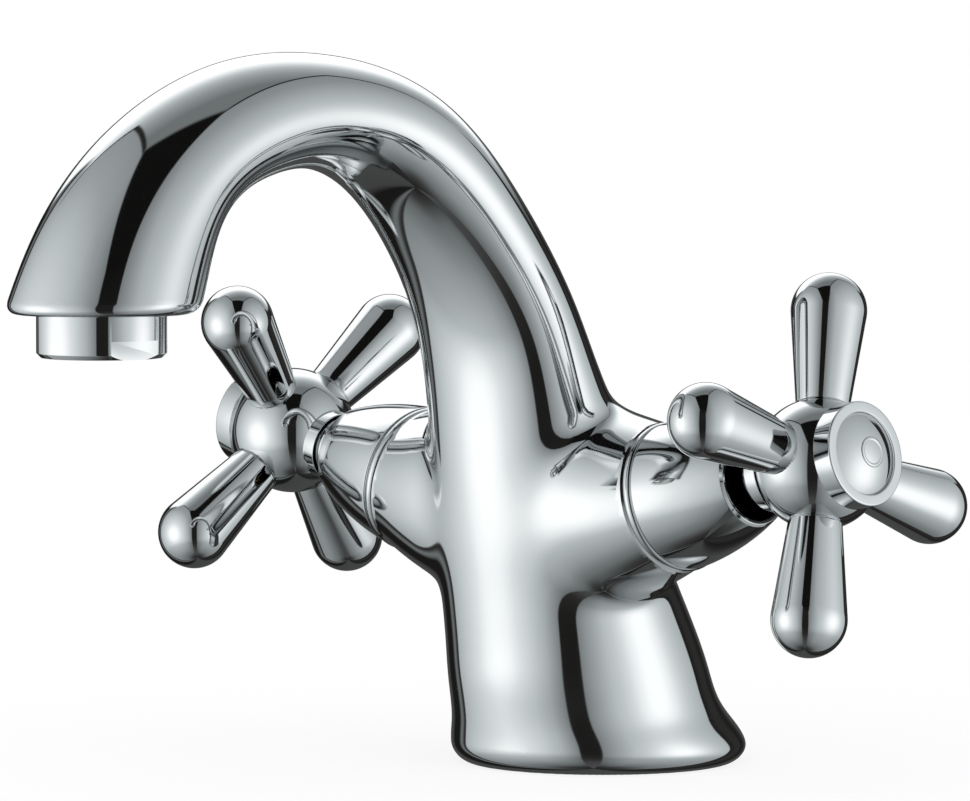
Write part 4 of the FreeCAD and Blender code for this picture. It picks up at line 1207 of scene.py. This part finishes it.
class SpokesOperator(bpy.types.Operator):
    """Build the round ended spokes set round each hub"""
    bl_idname = "mixer_tap.spokes"
    bl_label = "Spokes"

    def execute(self, context):
        h = context.scene.tap_handles
        seat = math.sqrt(h.hub_radius ** 2 - h.spoke_root ** 2)
        lean = math.asin((h.spoke_bulb - h.spoke_root) / (h.spoke_centre - seat))
        touch = (h.spoke_bulb * math.cos(lean), h.spoke_centre - h.spoke_bulb * math.sin(lean))
        half_way = h.spoke_bulb * math.sqrt(0.5)
        edge, stud, stud_length, steps = 0.35 * MM, 2.5 * MM, 4.6 * MM, 12
        # A stud in the hub, a side that widens outwards and touches the round end, and the end.
        corners = [(0, seat - stud_length), (stud, seat - stud_length), (stud, seat),
                   (h.spoke_root - edge, seat, 0.1 * MM), (h.spoke_root, seat + edge, 0.15 * MM)]
        root = Vector((h.spoke_root, seat + edge))
        for step in range(1, steps):
            corners.append(tuple(root.lerp(Vector(touch), step / steps)))
        corners.append(touch)
        corners += arc(touch, (half_way, h.spoke_centre + half_way), (0, h.spoke_centre + h.spoke_bulb), 48)
        for name, side in SIDES:
            spoke = new_object(name + "_spokes", smooth(turned(name + "_spokes", softened(corners), 144)))
            tree, inputs = self.round_the_hub(made_of(chrome_plated_brass))
            ring = spoke.modifiers.new("round the hub", "NODES")
            ring.node_group = tree
            ring[inputs["Spokes"]] = h.spoke_count
            ring[inputs["Hub centre"]] = h.hub_centre
            baked(spoke)
            bpy.data.node_groups.remove(tree)
            if len(spoke.data.polygons) < h.spoke_count:
                raise RuntimeError("the spokes were not made")
            spoke.data.transform(valve_frame(side, h.cold_turn if side > 0 else h.hot_turn))
            smooth(spoke.data)
            finish_piece(spoke, name + "_handle", "chrome", [name + "_handle_spokes"],
                         made_of(chrome_plated_brass))
        return {"FINISHED"}

    def round_the_hub(self, material):
        """Tree that lays copies of a spoke made about Z round the hub."""
        tree = bpy.data.node_groups.new("spokes_round_hub", "GeometryNodeTree")
        face = tree.interface
        face.new_socket("Spoke", in_out="INPUT", socket_type="NodeSocketGeometry")
        count = face.new_socket("Spokes", in_out="INPUT", socket_type="NodeSocketInt")
        centre = face.new_socket("Hub centre", in_out="INPUT", socket_type="NodeSocketFloat")
        face.new_socket("Handle", in_out="OUTPUT", socket_type="NodeSocketGeometry")
        start = add(tree, "NodeGroupInput").outputs
        lift = add(tree, "ShaderNodeCombineXYZ", {"Z": start["Hub centre"]}).outputs["Vector"]
        points = add(tree, "GeometryNodeMeshLine", {"Count": start["Spokes"], "Start Location": lift,
                                                    "Offset": (0, 0, 0)}).outputs["Mesh"]
        index = add(tree, "GeometryNodeInputIndex").outputs["Index"]
        share = add(tree, "ShaderNodeMath", {0: index, 1: start["Spokes"]},
                    operation="DIVIDE").outputs["Value"]
        heading = add(tree, "ShaderNodeMath", {0: share, 1: FULL_TURN}, operation="MULTIPLY").outputs["Value"]
        turn = add(tree, "ShaderNodeCombineXYZ", {"Y": math.pi / 2, "Z": heading}).outputs["Vector"]
        turn = add(tree, "FunctionNodeEulerToRotation", {"Euler": turn}).outputs["Rotation"]
        laid = add(tree, "GeometryNodeInstanceOnPoints", {"Points": points, "Instance": start["Spoke"],
                                                          "Rotation": turn}).outputs["Instances"]
        real = add(tree, "GeometryNodeRealizeInstances", {"Geometry": laid}).outputs["Geometry"]
        done = add(tree, "GeometryNodeSetMaterial", {"Geometry": real, "Material": material})
        add(tree, "NodeGroupOutput", {"Handle": done.outputs["Geometry"]})
        return tree, {"Spokes": count.identifier, "Hub centre": centre.identifier}


class IndexOperator(bpy.types.Operator):
    """Build the bezel and the domed button with its raised ring mark"""
    bl_idname = "mixer_tap.index"
    bl_label = "Index buttons"

    def execute(self, context):
        h = context.scene.tap_handles
        top = h.hub_centre + h.ring_face
        foot = top - h.ring_height
        spigot, recess, spigot_length, wall = 8.45 * MM, 8.3 * MM, 4.0 * MM, 1.4 * MM
        sunk, button_height, clearance = 0.5 * MM, 2.2 * MM, 0.06 * MM
        foot_edge, face_edge, inner_edge = 0.2 * MM, 0.45 * MM, 0.25 * MM
        rim = top - sunk
        button_foot = rim - button_height
        bore = spigot - wall
        # The bezel stands in the hub by its spigot, and the button lies in the bezel's recess.
        ring_corners = [(bore, foot - spigot_length), (spigot, foot - spigot_length), (spigot, foot),
                        (h.ring_radius, foot, foot_edge), (h.ring_radius, top, face_edge),
                        (recess, top, inner_edge), (recess, button_foot), (bore, button_foot)]
        button = recess - clearance
        rise = top + h.button_rise - rim
        dome = (button ** 2 + rise ** 2) / (2 * rise)

        def on_dome(radius, lift=0.0):
            """Point of the dome at a radius, lifted by some height."""
            return radius, top + h.button_rise - dome + math.sqrt(dome ** 2 - radius ** 2) + lift

        mark, half_line = h.mark_radius, h.mark_width / 2
        button_corners = [(0, button_foot), (button, button_foot), (button, rim)]
        button_corners += arc((button, rim), on_dome((button + mark) / 2), on_dome(mark + half_line), 30)
        button_corners += arc(on_dome(mark + half_line), on_dome(mark, h.mark_height),
                              on_dome(mark - half_line), 12)
        button_corners += arc(on_dome(mark - half_line), on_dome(mark / 2), on_dome(0), 20)
        for name, side in SIDES:
            place = valve_frame(side)
            ring = turned(name + "_bezel", softened(ring_corners, 7), 192)
            ring.transform(place)
            finish_piece(new_object(name + "_bezel", smooth(ring)), name + "_handle", "chrome",
                         [name + "_index_ring"], made_of(chrome_plated_brass))
            cap = turned(name + "_button", softened(button_corners), 192)
            cap.transform(place)
            finish_piece(new_object(name + "_button", smooth(cap)), name + "_handle", "chrome",
                         [name + "_index_button"], made_of(chrome_plated_brass))
        return {"FINISHED"}


class InnerPartsOperator(bpy.types.Operator):
    """Give the valves, seals and aerator insert their finishes"""
    bl_idname = "mixer_tap.inner_parts"
    bl_label = "Inner parts"

    def execute(self, context):
        makers = {"brass": machined_brass, "ceramic": ground_alumina, "rubber": black_epdm_rubber,
                  "plastic": moulded_acetal, "steel": turned_stainless_steel}
        slots = {part["node"]: part["material_slot"] for part in frame["record"]["subparts"]}
        for name, node in frame["nodes"].items():
            if node.hide_render:
                continue
            slot = slots[name]
            # The cartridge bodies, in the gap round the neck, take the painted shade.
            maker = headwork_painted_shade if name.endswith("_cartridge_body") else makers[slot]
            node.data.materials.clear()
            node.data.materials.append(made_of(maker))
        return {"FINISHED"}


class TapPanel(bpy.types.Panel):
    """Lists the steps that dress the tap"""
    bl_idname = "VIEW3D_PT_mixer_tap"
    bl_label = "Mixer Tap"
    bl_space_type = "VIEW_3D"
    bl_region_type = "UI"
    bl_category = "Mixer Tap"

    def draw(self, context):
        for operator in OPERATORS:
            self.layout.operator(operator.bl_idname)


GROUPS = (("tap_casting", CastingSizes), ("tap_handles", HandleSizes), ("tap_finishes", Finishes),
          ("tap_studio", Studio))
OPERATORS = (StageOperator, CastingOperator, AeratorOperator, ShroudsOperator, HubsOperator,
             SpokesOperator, IndexOperator, InnerPartsOperator)


def register():
    """Register the groups of sizes, the operators and the panel"""
    for name, group in GROUPS:
        bpy.utils.register_class(group)
        setattr(bpy.types.Scene, name, bpy.props.PointerProperty(type=group))
    for operator in OPERATORS:
        bpy.utils.register_class(operator)
    bpy.utils.register_class(TapPanel)


def unregister():
    """Take all classes off again"""
    bpy.utils.unregister_class(TapPanel)
    for operator in reversed(OPERATORS):
        bpy.utils.unregister_class(operator)
    for name, group in reversed(GROUPS):
        delattr(bpy.types.Scene, name)
        bpy.utils.unregister_class(group)


def main():
    """Dress the tap"""
    register()
    steps = bpy.ops.mixer_tap
    steps.stage()
    steps.casting()
    steps.aerator()
    steps.shrouds()
    steps.hubs()
    steps.spokes()
    steps.index()
    steps.inner_parts()


if __name__ == "__main__":
    main()
